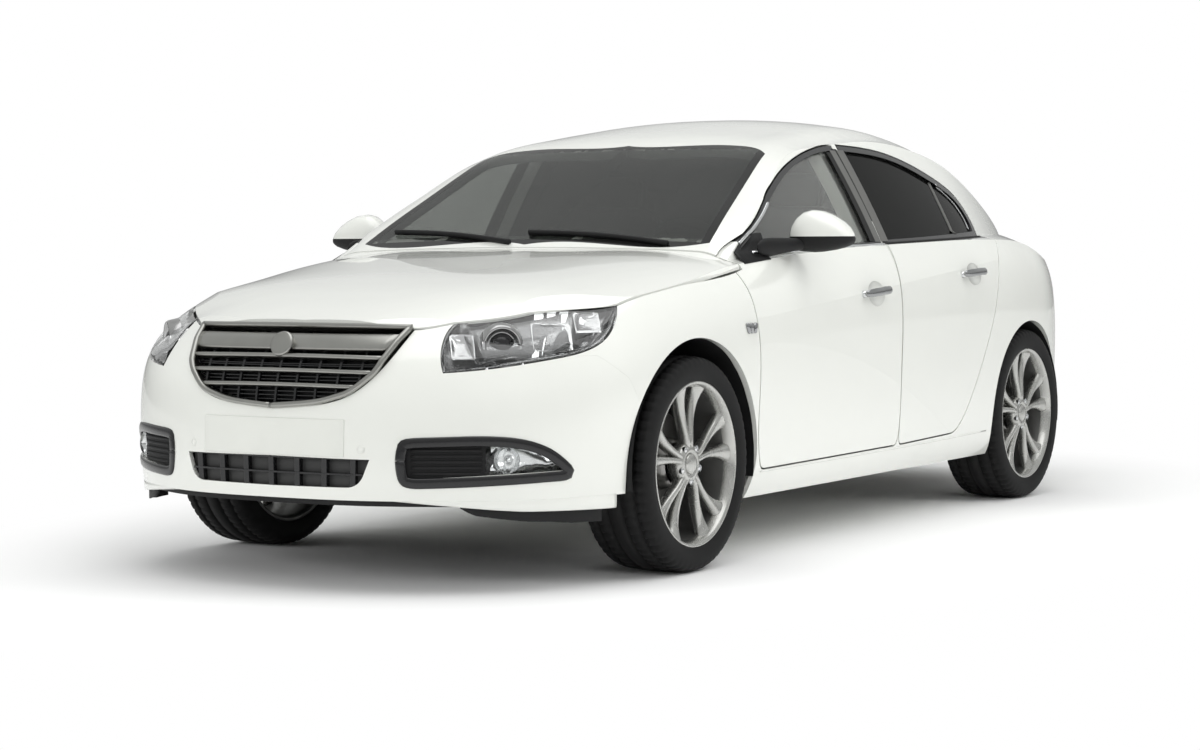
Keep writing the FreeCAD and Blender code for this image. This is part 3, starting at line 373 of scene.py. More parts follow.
def lofted(name, rows, closed_rows=True, caps=True, sign=1, wrapped=False, merge=0.0):
    """Skin over rows of points; each row is a closed section, and a wrapped skin joins the last row to the first."""
    count = len(rows[0])
    faces = []
    for i in range(len(rows) - (not wrapped)):
        n = (i + 1) % len(rows)
        for j in range(count - (not closed_rows)):
            k = (j + 1) % count
            faces.append((i * count + j, i * count + k, n * count + k, n * count + j))
    if caps:
        faces.append(tuple(range(count))[::-1])
        faces.append(tuple((len(rows) - 1) * count + j for j in range(count)))
    vertices = [p for row in rows for p in row]
    return tidy_normals(mesh_from(name, mirrored(vertices, sign) if sign < 0 else vertices, faces), merge)


def turned(name, profile, steps=96, shape=None):
    """Profile of (axle offset, radius) turned about the X axis; shape(step, j, radius) may change the radius."""
    rows = []
    for i in range(steps):
        angle = 2 * math.pi * i / steps
        radii = [shape(i, j, r) if shape else r for j, (a, r) in enumerate(profile)]
        rows.append([Vector((a, radius * math.cos(angle), radius * math.sin(angle)))
                     for (a, r), radius in zip(profile, radii)])
    return lofted(name, rows, closed_rows=False, caps=False, wrapped=True, merge=1e-6)


def oval(centre, u, v, count):
    """Ring of points about centre: u and v are its half axes."""
    angles = [2 * math.pi * k / count for k in range(count)]
    return [centre + u * math.cos(a) + v * math.sin(a) for a in angles]


def spin(degrees, axis):
    return Matrix.Rotation(math.radians(degrees), 4, axis)


def strip(name, points, normals, width, height, sink=0.001, sign=1):
    """Half-round moulding that follows points on a surface; it sinks a little into what carries it."""
    section_shape = [(-0.5, -sink), (-0.5, height * 0.45), (-0.3, height * 0.9), (0, height), (0.3, height * 0.9),
                     (0.5, height * 0.45), (0.5, -sink)]
    points, normals = mirrored(points, sign), mirrored(normals, sign)
    rows = []
    for i, point in enumerate(points):
        along = (points[min(i + 1, len(points) - 1)] - points[max(i - 1, 0)]).normalized()
        normal = normals[i].normalized()
        across = normal.cross(along).normalized()
        rows.append([point + across * (u * width) + normal * v for u, v in section_shape])
    return lofted(name, rows)


def smooth_path(points, steps=8):
    """Points along a Catmull-Rom curve through the given ones."""
    result = []
    count = len(points)
    for i in range(count - 1):
        p0, p1 = points[max(i - 1, 0)], points[i]
        p2, p3 = points[i + 1], points[min(i + 2, count - 1)]
        for k in range(steps):
            t = k / steps
            result.append(0.5 * ((2 * p1) + (p2 - p0) * t + (2 * p0 - 5 * p1 + 4 * p2 - p3) * t * t
                                 + (3 * p1 - p0 - 3 * p2 + p3) * t ** 3))
    result.append(points[-1].copy())
    return result


def surface_of(*names):
    vertices, faces = [], []
    for name in names:
        item = NODES[name]
        start = len(vertices)
        vertices += [item.matrix_world @ v.co for v in item.data.vertices]
        faces += [tuple(start + i for i in polygon.vertices) for polygon in item.data.polygons]
    return BVHTree.FromPolygons(vertices, faces)


def cast(tree, origin, direction, reach=4.0):
    """First point that a ray meets and the normal there, turned towards the ray's start; None where it misses."""
    point, normal = tree.ray_cast(Vector(origin), Vector(direction).normalized(), reach)[:2]
    if point is not None and normal.dot(Vector(direction)) > 0:
        normal = -normal
    return point, normal


bpy.context.view_layer.update()
LEFT_SIDE = surface_of("body_shell", "front_wings", "front_door_left", "rear_door_left", "front_window_left",
                       "rear_window_left", "front_bumper", "rear_bumper", "headlamps", "tail_lamps")
FRONT_DOOR = surface_of("front_door_left")
REAR_DOOR = surface_of("rear_door_left")
BODY_SIDE = surface_of("body_shell")


def from_left(tree, y, z):
    return cast(tree, (1.6, y, z), (-1, 0, 0), 1.3)


def on_side(y, z):
    """Point and normal of the left side seen from +X; the gaps between panels are bridged."""
    for shift in (0, 0.008, -0.008, 0.016, -0.016):
        point, normal = from_left(LEFT_SIDE, y + shift, z)
        if point is not None and point.x > 0.5:
            return Vector((point.x, y, z)), normal
    return Vector((0.9, y, z)), Vector((1, 0, 0))


def on_door(tree, y, z, step=0.006):
    """Point and normal of a door's skin or window frame; over its window the nearest frame is carried across."""
    for i in range(60):
        for shift in (-i * step, i * step):
            point, normal = from_left(tree, y + shift, z)
            if point is not None and point.x > 0.6:
                return Vector((point.x, y, z)), normal
    return on_side(y, z)


def side_strip(name, outline, width, height, material, body, steps=6, tree=None):
    """Moulding along the car's side through (y, z) stations, on the left and mirrored on the right."""
    flat = smooth_path([Vector((0, y, z)) for y, z in outline], steps)
    found = [on_door(tree, p.y, p.z) if tree else on_side(p.y, p.z) for p in flat]
    pair(name, lambda sign: strip(name, *zip(*found), width, height, sign=sign), material, body)


def replaced(item, *nodes):
    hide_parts(*nodes)
    return item


def paint_nodes(material, *names):
    for name in names:
        data = NODES[name].data
        data.materials.clear()
        data.materials.append(material)


# CAD nodes that keep their shape

# The body shell carries painted shade: its rib behind the middle of both screens is black.
paint_nodes(shell_paint_with_painted_shade(), "body_shell")
paint_nodes(PAINT, "front_wings", "front_bumper", "rear_bumper", "bonnet", "boot_lid")
paint_nodes(STRUCTURE, "front_structure")
paint_nodes(DOOR_PAINT, "front_door_left", "front_door_right", "rear_door_left", "rear_door_right")
paint_nodes(SCREEN_GLASS, "windscreen")
paint_nodes(REAR_GLASS, "rear_window")
paint_nodes(DOOR_GLASS, "front_window_left", "front_window_right")
paint_nodes(DARK_TINTED, "rear_window_left", "rear_window_right")
paint_nodes(BLACK, "front_lip", "lower_grille", "fog_vents")
paint_nodes(IRON, "front_subframe", "rear_axle", "knuckle_left", "knuckle_right")
paint_nodes(EXHAUST_STEEL, "exhaust")
paint_nodes(DASH, "dashboard")
paint_nodes(ENGINE, "engine")
paint_nodes(RED_LENS, "tail_lamps")


# Wheels

TREAD_PITCHES = 64


def tyre_profile():
    """Section from bead to bead: (axle offset, radius), with grooves between the ribs."""
    side = [(0.104, 0.2535), (0.1125, 0.2585), (0.1165, 0.266), (0.1205, 0.28), (0.1225, 0.296), (0.1205, 0.312),
            (0.1165, 0.3225), (0.111, 0.3295), (0.104, 0.3335)]
    tread = [(0.092, 0.3355), (0.078, 0.3370), (0.0775, 0.3300), (0.0695, 0.3300), (0.069, 0.3375),
             (0.05, 0.3382), (0.031, 0.3385), (0.0305, 0.3310), (0.0215, 0.3310), (0.021, 0.3388), (0.0, TYRE_RADIUS)]
    half = side + tread
    return half + [(-a, r) for a, r in reversed(half[:-1])]


def tread_shape(step, j, radius):
    """Lateral grooves across the shoulders and fine cuts in the ribs."""
    shoulder = j in (6, 7, 8, 9, 10) or j in (28, 29, 30, 31, 32)
    rib = j in (13, 14, 15, 24, 25, 23)
    phase = step % 4
    if shoulder and phase == 0:
        return radius - (0.0062 if j in (8, 9, 10, 28, 29, 30) else 0.0035)
    if rib and phase == 2 and radius > 0.335:
        return radius - 0.004
    return radius


def spoke_section(centre, across, out, width, depth, crown):
    """Closed spoke section: a flat back, sloping flanks and a crowned face."""
    shape = [(-0.5, -1.0), (-0.56, -0.45), (-0.42, -0.06), (-0.2, crown), (0.2, crown), (0.42, -0.06), (0.56, -0.45),
             (0.5, -1.0)]
    return [centre + across * (u * width) + out * (v * depth) for u, v in shape]


def spoke_rows(direction, sign):
    """One spoke of a pair, from the hub to the rim, leaning to one side."""
    stations = [(0.040, 0.090, 0.100, 0.024, 0.040), (0.075, 0.092, 0.125, 0.022, 0.040),
                (0.115, 0.086, 0.150, 0.023, 0.036), (0.160, 0.082, 0.182, 0.028, 0.034),
                (0.205, 0.086, 0.212, 0.037, 0.034), (0.236, 0.095, 0.235, 0.055, 0.036),
                (0.251, 0.101, 0.245, 0.072, 0.036)]
    rows = []
    for radius, face, lean, width, depth in stations:
        offset = lean if radius > 0.05 else lean * 2.2
        angle = direction + sign * offset * (1.0 if radius > 0.1 else 0.9)
        outward = Vector((0, math.cos(angle), math.sin(angle)))
        across = Vector((0, -math.sin(angle), math.cos(angle)))
        centre = outward * radius + Vector((face, 0, 0))
        rows.append(spoke_section(centre, across, Vector((1, 0, 0)), width, depth, 0.05))
    return rows


def joined_mesh(name, meshes):
    work = bmesh.new()
    for mesh in meshes:
        work.from_mesh(mesh)
    merged = bpy.data.meshes.new(name)
    work.to_mesh(merged)
    work.free()
    for mesh in meshes:
        bpy.data.meshes.remove(mesh)
    return merged


def moved(mesh, matrix):
    mesh.transform(matrix)
    if matrix.determinant() < 0:
        mesh.flip_normals()
    return mesh


RIM_LIP = [(0.0975, 0.2525), (0.104, 0.2535), (0.1085, 0.2595), (0.1125, 0.2600), (0.1140, 0.2570), (0.1125, 0.2520),
           (0.1070, 0.2480), (0.0990, 0.2440), (0.0860, 0.2400), (0.0780, 0.2385)]
RIM_BARREL = [(0.0785, 0.2388), (0.03, 0.2300), (-0.04, 0.2280), (-0.09, 0.2380), (-0.108, 0.2440), (-0.112, 0.2580),
              (-0.108, 0.2590), (-0.1, 0.2500)]
HUB = [(0.035, 0.0), (0.035, 0.062), (0.060, 0.068), (0.082, 0.066), (0.0905, 0.058), (0.0925, 0.045), (0.0925, 0.036),
       (0.0895, 0.034), (0.0895, 0.0)]
HUB_CAP = [(0.0895, 0.0335), (0.0935, 0.0325), (0.0965, 0.0300), (0.0985, 0.0200), (0.0992, 0.0)]
BRAKE_DISC = [(-0.043, 0.062), (-0.043, 0.159), (-0.042, 0.160), (-0.034, 0.160), (-0.033, 0.158), (-0.027, 0.158),
              (-0.026, 0.160), (-0.018, 0.160), (-0.017, 0.159), (-0.017, 0.088), (-0.012, 0.082), (0.026, 0.078),
              (0.035, 0.066)]
SPOKE_PAIRS = 5
NUT_CIRCLE = 0.055


def wheel_nuts():
    nuts = []
    for i in range(SPOKE_PAIRS):
        angle = math.radians(90 + 36 + 72 * i)
        place = Matrix.Translation((0, NUT_CIRCLE * math.cos(angle), NUT_CIRCLE * math.sin(angle)))
        nuts.append(moved(turned("well", [(0.093, 0.0125), (0.0905, 0.0118), (0.082, 0.0108)], 24), place))
        nut = turned("nut", [(0.080, 0.0088), (0.0905, 0.0088), (0.0925, 0.0072), (0.0928, 0.0)], 6)
        nuts.append(moved(nut, place))
    return joined_mesh("nuts", nuts)


def caliper():
    """Brake caliper over the disc's edge, in front of the axle."""
    rows = []
    for i in range(9):
        angle = math.radians(150 + 7.5 * i)
        inner, outer = (0.125, 0.168) if i in (0, 8) else (0.112, 0.176)
        shape = [(0.010, inner), (0.018, outer - 0.012), (0.008, outer), (-0.070, outer), (-0.082, outer - 0.012),
                 (-0.078, inner), (-0.052, inner), (-0.052, outer - 0.013), (-0.009, outer - 0.013), (-0.009, inner)]
        rows.append([Vector((a, r * math.cos(angle), r * math.sin(angle))) for a, r in shape])
    return lofted("caliper", rows)


def make_wheel(end, axle_y, side, sign):
    tag = "%s_%s" % (end, side)
    facing = Matrix.Identity(4) if sign > 0 else Matrix.Rotation(math.pi, 4, "Z")
    here = Matrix.Translation((sign * TRACK_X, axle_y, TYRE_RADIUS)) @ facing

    def piece(name, mesh, material, **finish):
        return finish_object(name, moved(mesh, here), material, "wheel_" + tag, **finish)

    tyre = piece("tyre_%s_treaded" % tag, turned("tyre", tyre_profile(), TREAD_PITCHES * 4, tread_shape), RUBBER)
    replaced(tyre, "tyre_" + tag)
    spokes = [lofted("spoke", spoke_rows(math.radians(90 + 72 * i), lean)) for i in range(SPOKE_PAIRS)
              for lean in (1, -1)]
    bright = piece("rim_%s_spokes" % tag, joined_mesh("rim", spokes), ALLOY, subdivide=2)
    piece("rim_%s_lip" % tag, joined_mesh("lip", [turned("lip", RIM_LIP, 120), turned("hub", HUB, 80)]), ALLOY)
    piece("rim_%s_barrel" % tag, turned("barrel", RIM_BARREL), ALLOY_DARK)
    replaced(bright, "rim_" + tag)
    piece("wheel_cap_" + tag, turned("cap", HUB_CAP, 64), ALLOY)
    piece("wheel_nuts_" + tag, wheel_nuts(), CHROME, bevel=0.0008)
    piece("brake_disc_" + tag, turned("disc", BRAKE_DISC), DISC_STEEL)
    carrier = "knuckle_" + side if end == "front" else "body"
    finish_object("caliper_" + tag, moved(caliper(), here), IRON, carrier, bevel=0.002)


for end, axle_y in (("front", FRONT_AXLE_Y), ("rear", REAR_AXLE_Y)):
    for side, sign in SIDES:
        make_wheel(end, axle_y, side, sign)


# Nose

NOSE_LINE = [(0.2, -2.375), (0.28, -2.394), (0.4, -2.398), (0.52, -2.392), (0.6, -2.380), (0.68, -2.355),
             (0.74, -2.310), (0.80, -2.238), (0.85, -2.150)]


def interpolate(stations, value):
    for (a, fa), (b, fb) in zip(stations, stations[1:]):
        if value <= b:
            return fa + (value - a) * (fb - fa) / (b - a)
    return stations[-1][1]


def spread(start, end, count):
    return [start + (end - start) * i / (count - 1) for i in range(count)]


def nose_y(x, z):
    """Front surface of the nose near its centre: a height line bowed back to both sides."""
    return interpolate(NOSE_LINE, z) + 0.158 * x * x + 1.08 * x ** 4


def nose_point(x, z, out=0.0):
    point = Vector((x, nose_y(x, z), z))
    step = 0.004
    across = Vector((2 * step, nose_y(x + step, z) - nose_y(x - step, z), 0))
    up = Vector((0, nose_y(x, z + step) - nose_y(x, z - step), 2 * step))
    normal = across.cross(up).normalized()
    if normal.y > 0:
        normal = -normal
    return point + normal * out, normal


GRILLE_HALF = [(0.0, 0.551), (0.150, 0.5635), (0.232, 0.582), (0.275, 0.5985), (0.312, 0.627), (0.342, 0.659),
               (0.366, 0.715), (0.3865, 0.776)]


def grille_half_width(z):
    return interpolate([(h, w) for w, h in GRILLE_HALF], z)


def front_moulding(name, outline, width, height, out, steps=6):
    flat = smooth_path([Vector((x, 0, z)) for x, z in outline], steps)
    found = [nose_point(p.x, p.z, out) for p in flat]
    return finish_object(name, strip(name, *zip(*found), width, height, 0.016), SATIN_CHROME, "body")


def bar_between(x0, z0, x1, z1, width, out, depth):
    """Small straight bar across the grille, square in section."""
    along = Vector((x1 - x0, 0, z1 - z0)).normalized()
    across = Vector((-along.z, 0, along.x)) * (width / 2)
    rows = []
    for x, z in ((x0, z0), (x1, z1)):
        front, normal = nose_point(x, z, out)
        rear = front - normal * depth
        rows.append([front - across, front + across, rear + across, rear - across])
    return lofted("bar", rows)


def grille_cells():
    cells = []
    for i in range(-5, 6):
        x = i * 0.072
        for low_z, high_z in ((0.560, 0.606), (0.616, 0.648), (0.658, 0.690), (0.700, 0.716)):
            if abs(x) < grille_half_width(0.5 * (low_z + high_z)) - 0.015:
                cells.append(bar_between(x, low_z - 0.006, x, high_z + 0.006, 0.0075, -0.012, 0.026))
    for z in (0.572, 0.584, 0.596, 0.622, 0.632, 0.642, 0.664, 0.674, 0.684, 0.706, 0.768):
        half = grille_half_width(z) - 0.006
        ends = spread(-half, half, 11)
        cells += [bar_between(x0, z, x1, z, 0.0028, -0.016, 0.014) for x0, x1 in zip(ends, ends[1:])]
    return joined_mesh("cells", cells)


def make_grille():
    mirrored_half = [(-x, z) for x, z in reversed(GRILLE_HALF)]
    frame_left = front_moulding("grille_frame_left", GRILLE_HALF, 0.017, 0.010, 0.006)
    front_moulding("grille_frame_right", mirrored_half, 0.017, 0.010, 0.006)
    top = [(-0.392, 0.7790), (-0.2, 0.7805), (0, 0.781), (0.2, 0.7805), (0.392, 0.7790)]
    front_moulding("grille_frame_top", top, 0.015, 0.009, 0.006)
    for index, z in enumerate((0.694, 0.652, 0.610)):
        half = grille_half_width(z) - 0.006
        row = [(x * half, z + 0.004 * (1 - (x * x))) for x in (-1, -0.6, -0.2, 0.2, 0.6, 1)]
        front_moulding("grille_bar_%d" % index, row, 0.013, 0.007, 0.001, 5)
    bar_section = ((0.716, -0.014), (0.7165, 0.002), (0.722, 0.006), (0.741, 0.009), (0.758, 0.006), (0.7625, 0.001),
                   (0.763, -0.014))
    top_rows = [[nose_point(t * (grille_half_width(z) - 0.009), z, out)[0] for z, out in bar_section]
                for t in spread(-1, 1, 33)]
    finish_object("grille_top_bar", lofted("top_bar", top_rows), SATIN_CHROME, "body")
    replaced(frame_left, "grille")
    finish_object("grille_cells", grille_cells(), GLOSS_BLACK, "body", smooth=False)
    # Painted shade: the black sheet behind the cells stands for the shaded space behind the grille.
    heights = (0.556, 0.6, 0.65, 0.7, 0.776)
    shade_sheet_section = [(z, -0.034) for z in heights] + [(z, -0.040) for z in reversed(heights)]
    back = [[nose_point(t * (grille_half_width(z) - 0.004), z, out)[0] for z, out in shade_sheet_section]
            for t in spread(-1, 1, 25)]
    finish_object("grille_back", lofted("back", back), BLACK, "body")
    ring = Matrix.Translation(nose_point(0, 0.7235, 0.016)[0]) @ spin(-24, "X") @ spin(-90, "Z")
    disc = turned("disc", [(-0.02, 0.036), (-0.002, 0.040), (0.004, 0.0385), (0.0065, 0.034), (0.0078, 0.02),
                           (0.008, 0.0)], 72)
    finish_object("grille_centre_disc", moved(disc, ring), SATIN_CHROME, "body")


make_grille()


# Headlamps, seen along the direction that they face

LAMP_AZIMUTH = math.radians(40)
LAMP_RIGHT = Vector((math.cos(LAMP_AZIMUTH), math.sin(LAMP_AZIMUTH), 0))
LAMP_BACK = Vector((-math.sin(LAMP_AZIMUTH), math.cos(LAMP_AZIMUTH), 0))
LAMP_TREE = surface_of("headlamps")
LAMP_OUTLINE = [(-1.046, 0.655), (-1.048, 0.705), (-1.018, 0.772), (-0.958, 0.804), (-0.800, 0.842), (-0.650, 0.864),
                (-0.500, 0.869), (-0.512, 0.802), (-0.554, 0.746), (-0.622, 0.712), (-0.723, 0.692), (-0.900, 0.668)]
LAMP_MIDDLE = Vector((-0.80, 0, 0.765))


def lamp_point(u, z, depth=0.0):
    """Point on the left lamp's face at (u, z) in its own view, pushed back by depth."""
    start = LAMP_RIGHT * u - LAMP_BACK * 3.5
    point = cast(LAMP_TREE, (start.x, start.y, z), LAMP_BACK, 6.0)[0]
    if point is None:
        point = LAMP_TREE.find_nearest(LAMP_RIGHT * u - LAMP_BACK * 2.3 + UP * z)[0]
    return point + LAMP_BACK * depth


def outer_patch(node, facing, name, inset=0.0, least=0.25):
    """Faces of a CAD node that look towards facing, moved inwards against it."""
    mesh = bpy.data.meshes.new(name)
    with editing(mesh, NODES[node].data) as work:
        bmesh.ops.remove_doubles(work, verts=work.verts, dist=1e-5)
        away = [f for f in work.faces if f.normal.dot(facing) < least]
        bmesh.ops.delete(work, geom=away, context="FACES")
        for vertex in work.verts:
            vertex.co -= facing * inset
    return mesh


def keep_left(mesh):
    with editing(mesh) as work:
        bmesh.ops.delete(work, geom=[v for v in work.verts if v.co.x < 0], context="VERTS")
    return mesh


def make_headlamps():
    rim = smooth_path([Vector((u, 0, z)) for u, z in LAMP_OUTLINE + LAMP_OUTLINE[:1]], 5)
    for side, sign in SIDES:
        flip = Matrix.Diagonal((sign, 1, 1, 1))
        tag = "headlamp_%s_" % side
        lens = moved(keep_left(outer_patch("headlamps", -LAMP_BACK, "lens")), flip)
        lens_item = finish_object(tag + "lens", lens, CLEAR, "body", thickness=0.003)
        bowl = moved(keep_left(outer_patch("headlamps", -LAMP_BACK, "bowl", 0.052)), flip)
        finish_object(tag + "bowl", bowl, LAMP_GREY, "body")
        if sign > 0:
            replaced(lens_item, "headlamps")
        rows = []
        for p in rim:
            inward = (LAMP_MIDDLE - p).normalized()
            rows.append([lamp_point(p.x + inward.x * shrink, p.z + inward.z * shrink, depth) for shrink, depth in
                         ((0.002, 0.004), (0.006, 0.0045), (0.010, 0.008), (0.016, 0.052), (0.0, 0.052))])
        finish_object(tag + "bezel", moved(lofted("bezel", rows, caps=False), flip), LAMP_GREY, "body")
        projector(tag + "projector", -0.867, 0.728, 0.047, flip)
        box_reflector(tag + "dipped_box", -0.775, -0.655, 0.712, 0.792, flip)
        box_reflector(tag + "turn_box", -0.640, -0.560, 0.762, 0.818, flip)
        box_reflector(tag + "side_box", -1.018, -0.950, 0.690, 0.760, flip)
        brow(tag, flip)


def projector(name, u, z, radius, flip):
    place = flip @ Matrix.Translation(lamp_point(u, z, 0.040)) @ Matrix.Rotation(LAMP_AZIMUTH - math.pi / 2, 4, "Z")
    shroud = [(-0.01, 1.45), (0.022, 1.30), (0.030, 1.18), (0.026, 1.05), (0.010, 1.0), (0.006, 0.86)]
    ball = [(0.004, 0.86), (0.016, 0.72), (0.026, 0.48), (0.031, 0.22), (0.032, 0.0)]
    ring = [(0.004, 0.92), (0.012, 0.90), (0.014, 0.84), (0.010, 0.78), (0.004, 0.76)]
    for part, profile, material in (("shroud", shroud, LAMP_CHROME), ("ball", ball, GLOSS_BLACK),
                                    ("ring", ring, LAMP_CHROME)):
        mesh = turned(part, [(a, radius * share) for a, share in profile], 64)
        finish_object("%s_%s" % (name, part), moved(mesh, place), material, "body")


def box_reflector(name, u0, u1, z0, z1, flip):
    """Bright tray: a rim near the lens and a curved, fluted floor behind it."""
    rows = []
    count = 12
    for i in range(count + 1):
        u = u0 + (u1 - u0) * i / count
        hollow = 0.030 * math.sin(math.pi * i / count) ** 0.6 + (0.002 if i % 2 else 0.0)
        rows.append([lamp_point(u, z0 + (z1 - z0) * k / 8, 0.012 + hollow * math.sin(math.pi * k / 8) ** 0.6)
                     for k in range(9)])
    mesh = lofted("tray", rows, closed_rows=False, caps=False)
    finish_object(name, moved(mesh, flip), LAMP_CHROME, "body", thickness=0.0015)


def brow(tag, flip):
    """Grey strip along the top of the lamp, with four small slots."""
    edge = [(-1.0, 0.778), (-0.958, 0.796), (-0.800, 0.834), (-0.650, 0.856), (-0.5, 0.861)]
    rows = []
    for i in range(21):
        t = i / 20
        u = -0.985 + t * 0.47
        top = interpolate(edge, u)
        low = top - 0.022 - 0.018 * math.sin(math.pi * t)
        rows.append([lamp_point(u, z, depth) for z, depth in
                     ((top, 0.010), (low, 0.014), (low - 0.004, 0.045), (top, 0.045))])
    finish_object(tag + "brow", moved(lofted("brow", rows), flip), LAMP_GREY, "body")
    slots = []
    for i in range(4):
        u, z = -0.742 + i * 0.040, 0.8235 + i * 0.0035
        ring = [lamp_point(u + a, z + b, 0.0095) for a, b in
                ((-0.016, -0.008), (0.013, -0.006), (0.016, 0.007), (-0.011, 0.006))]
        slots.append(lofted("slot", [ring, [p + LAMP_BACK * 0.008 for p in ring]]))
    finish_object(tag + "slots", moved(joined_mesh("slots", slots), flip), REFLECTOR, "body", smooth=False, bevel=0.001)


make_headlamps()


# Side trim, handles and mirrors

def side_patch(name, rows, lift, material, body):
    """Thin panel laid on a front door; rows are lists of (y, z) from one edge to the other."""
    grid = [[p + n * lift for p, n in (on_door(FRONT_DOOR, y, z) for y, z in row)] for row in rows]
    pair(name, lambda sign: lofted(name, grid, False, False, sign), material, body, thickness=0.0025)


def between(a, b, count):
    return list(zip(spread(a[0], b[0], count), spread(a[1], b[1], count)))


def pillar_cover(name, tree, frame_y, edge, width, lift, material, body):
    """Upright panel beside a window: its front edge runs from edge[0] to edge[1] in the plane of the door frame."""
    thickness = 0.003
    rows = []
    for y, z in between(*edge, 15):
        x = on_door(tree, frame_y, z)[0].x + lift
        rows.append([Vector((x, y, z)), Vector((x, y + width, z)), Vector((x - thickness, y + width, z)),
                     Vector((x - thickness, y, z))])
    pair(name, lambda sign: lofted(name, rows, sign=sign), material, body, smooth=False, bevel=0.0008)


def make_side_trim():
    front, rear = "front_door_SIDE", "rear_door_SIDE"
    side_strip("belt_chrome", [(-0.850, 0.992), (-0.5, 1.0035), (-0.2, 1.0120), (0.070, 1.0190)], 0.016, 0.006, CHROME,
               front, 8)
    side_strip("window_chrome", [(-0.900, 1.024), (-0.829, 1.055), (-0.787, 1.072), (-0.732, 1.098), (-0.673, 1.128),
                                 (-0.612, 1.162)], 0.012, 0.004, CHROME, front, tree=FRONT_DOOR)
    side_strip("rear_belt_seal", [(0.108, 1.0225), (0.6, 1.0350), (1.070, 1.0470)], 0.012, 0.004, SEAL, rear, 8)
    for name, tree, frame_y, edge, width, lift, material, body in (
            ("pillar_back", BODY_SIDE, 0.083, ((0.052, 1.032), (0.056, 1.366)), 0.058, 0.0005, SEAL, "body"),
            ("front_pillar_seal", FRONT_DOOR, 0.048, ((-0.006, 1.030), (0.004, 1.352)), 0.042, 0.001, SEAL, front),
            ("front_pillar_film", FRONT_DOOR, 0.048, ((0.034, 1.028), (0.036, 1.360)), 0.046, 0.002, PILLAR_GREY,
             front),
            ("rear_pillar_film", REAR_DOOR, 0.118, ((0.086, 1.030), (0.088, 1.362)), 0.058, 0.002, PILLAR_GREY, rear)):
        pillar_cover(name, tree, frame_y, edge, width, lift, material, body)
    divider = [(0.842, 1.255), (0.838, 1.20), (0.835, 1.12), (0.833, 1.058)]
    side_strip("window_divider", divider, 0.024, 0.004, PILLAR_GREY, rear, 4)
    quarter = [(0.880, 1.250), (0.960, 1.218), (1.030, 1.176), (1.062, 1.125), (1.060, 1.075)]
    side_strip("quarter_chrome", quarter, 0.006, 0.003, CHROME, rear)
    sill = [(-0.985, 0.283), (-0.4, 0.284), (0.3, 0.288), (0.9, 0.296)]
    side_strip("sill_line", sill, 0.006, 0.0015, PAINT, "body")


def make_handle(name, y, z, rise, body):
    """Bar handle on two feet, bowed away from the door."""
    reach, half_depth = 0.098, 0.0095
    rows = []
    for i in range(17):
        t = -1 + i / 8
        point, n = on_side(y + t * reach, z + t * rise)
        up = (UP - n * n.z).normalized()
        out = 0.018 + 0.018 * (1 - t ** 4)
        half_height = 0.0155 * (1 - 0.25 * t ** 6)
        rows.append(oval(point + n * out, n * half_depth, up * half_height, 12))
    feet = []
    for t in (-0.86, 0.82):
        point, n = on_side(y + t * reach, z + t * rise)
        along = n.cross(UP).normalized()
        feet.append([oval(point + n * out, along * (0.010 * grow), UP * (0.0115 * grow), 12) for out, grow in
                     ((-0.002, 1.25), (0.006, 1.0), (0.024, 0.9))])
    pair(name, lambda sign: lofted("bar", rows, sign=sign), DARK_CHROME, body, subdivide=1)
    pair(name + "_feet", lambda sign: joined_mesh("feet", [lofted("foot", foot, sign=sign) for foot in feet]), CHROME,
         body)


MIRROR_STATIONS = [(0.842, 1.074, 1.010, 0.024), (0.852, 1.094, 1.004, 0.034), (0.870, 1.116, 0.999, 0.044),
                   (0.895, 1.131, 0.996, 0.052), (0.925, 1.137, 0.994, 0.057), (0.960, 1.132, 0.996, 0.058),
                   (0.995, 1.118, 1.001, 0.056), (1.025, 1.099, 1.008, 0.051), (1.050, 1.077, 1.016, 0.042),
                   (1.064, 1.058, 1.024, 0.030), (1.071, 1.046, 1.031, 0.014)]
MIRROR_ARM = [(0.828, -0.830, 1.010, 0.070, 0.036), (0.846, -0.780, 1.014, 0.072, 0.030),
              (0.858, -0.735, 1.018, 0.068, 0.026), (0.870, -0.690, 1.020, 0.058, 0.023),
              (0.888, -0.655, 1.022, 0.044, 0.020), (0.915, -0.640, 1.024, 0.034, 0.014)]
MIRROR_SAIL = [((-0.981, 0.958), (-0.800, 0.972)), ((-0.955, 0.996), (-0.745, 1.004)),
               ((-0.905, 1.024), (-0.735, 1.030)), ((-0.845, 1.053), (-0.745, 1.060))]
MIRROR_Y, CAP_EDGE = -0.630, 1.0475


def mirror_section(x, top, bottom, depth, count=28):
    """Ring of the housing: rounded ahead, flat behind where the glass sits."""
    middle, half = (top + bottom) / 2, (top - bottom) / 2
    ring = []
    for k in range(count):
        a = 2 * math.pi * k / count
        y = math.cos(a)
        y = -abs(y) ** 0.8 * depth if y > 0 else abs(y) ** 0.35 * depth * 0.72
        ring.append(Vector((x, MIRROR_Y + y, middle + half * math.copysign(abs(math.sin(a)) ** 0.85, math.sin(a)))))
    return ring


def mirror_housing(sign):
    mesh = lofted("housing", [mirror_section(*station) for station in MIRROR_STATIONS], sign=sign)
    with editing(mesh) as work:
        split_at(work, 2, CAP_EDGE)
        for face in work.faces:
            face.material_index = 0 if face.calc_center_median().z > CAP_EDGE else 1
    return mesh


def split_at(work, axis, place):
    """Cuts all faces where the axis has the value place."""
    point, facing = Vector(), Vector()
    point[axis], facing[axis] = place, 1
    bmesh.ops.bisect_plane(work, geom=work.verts[:] + work.edges[:] + work.faces[:], plane_co=point, plane_no=facing)


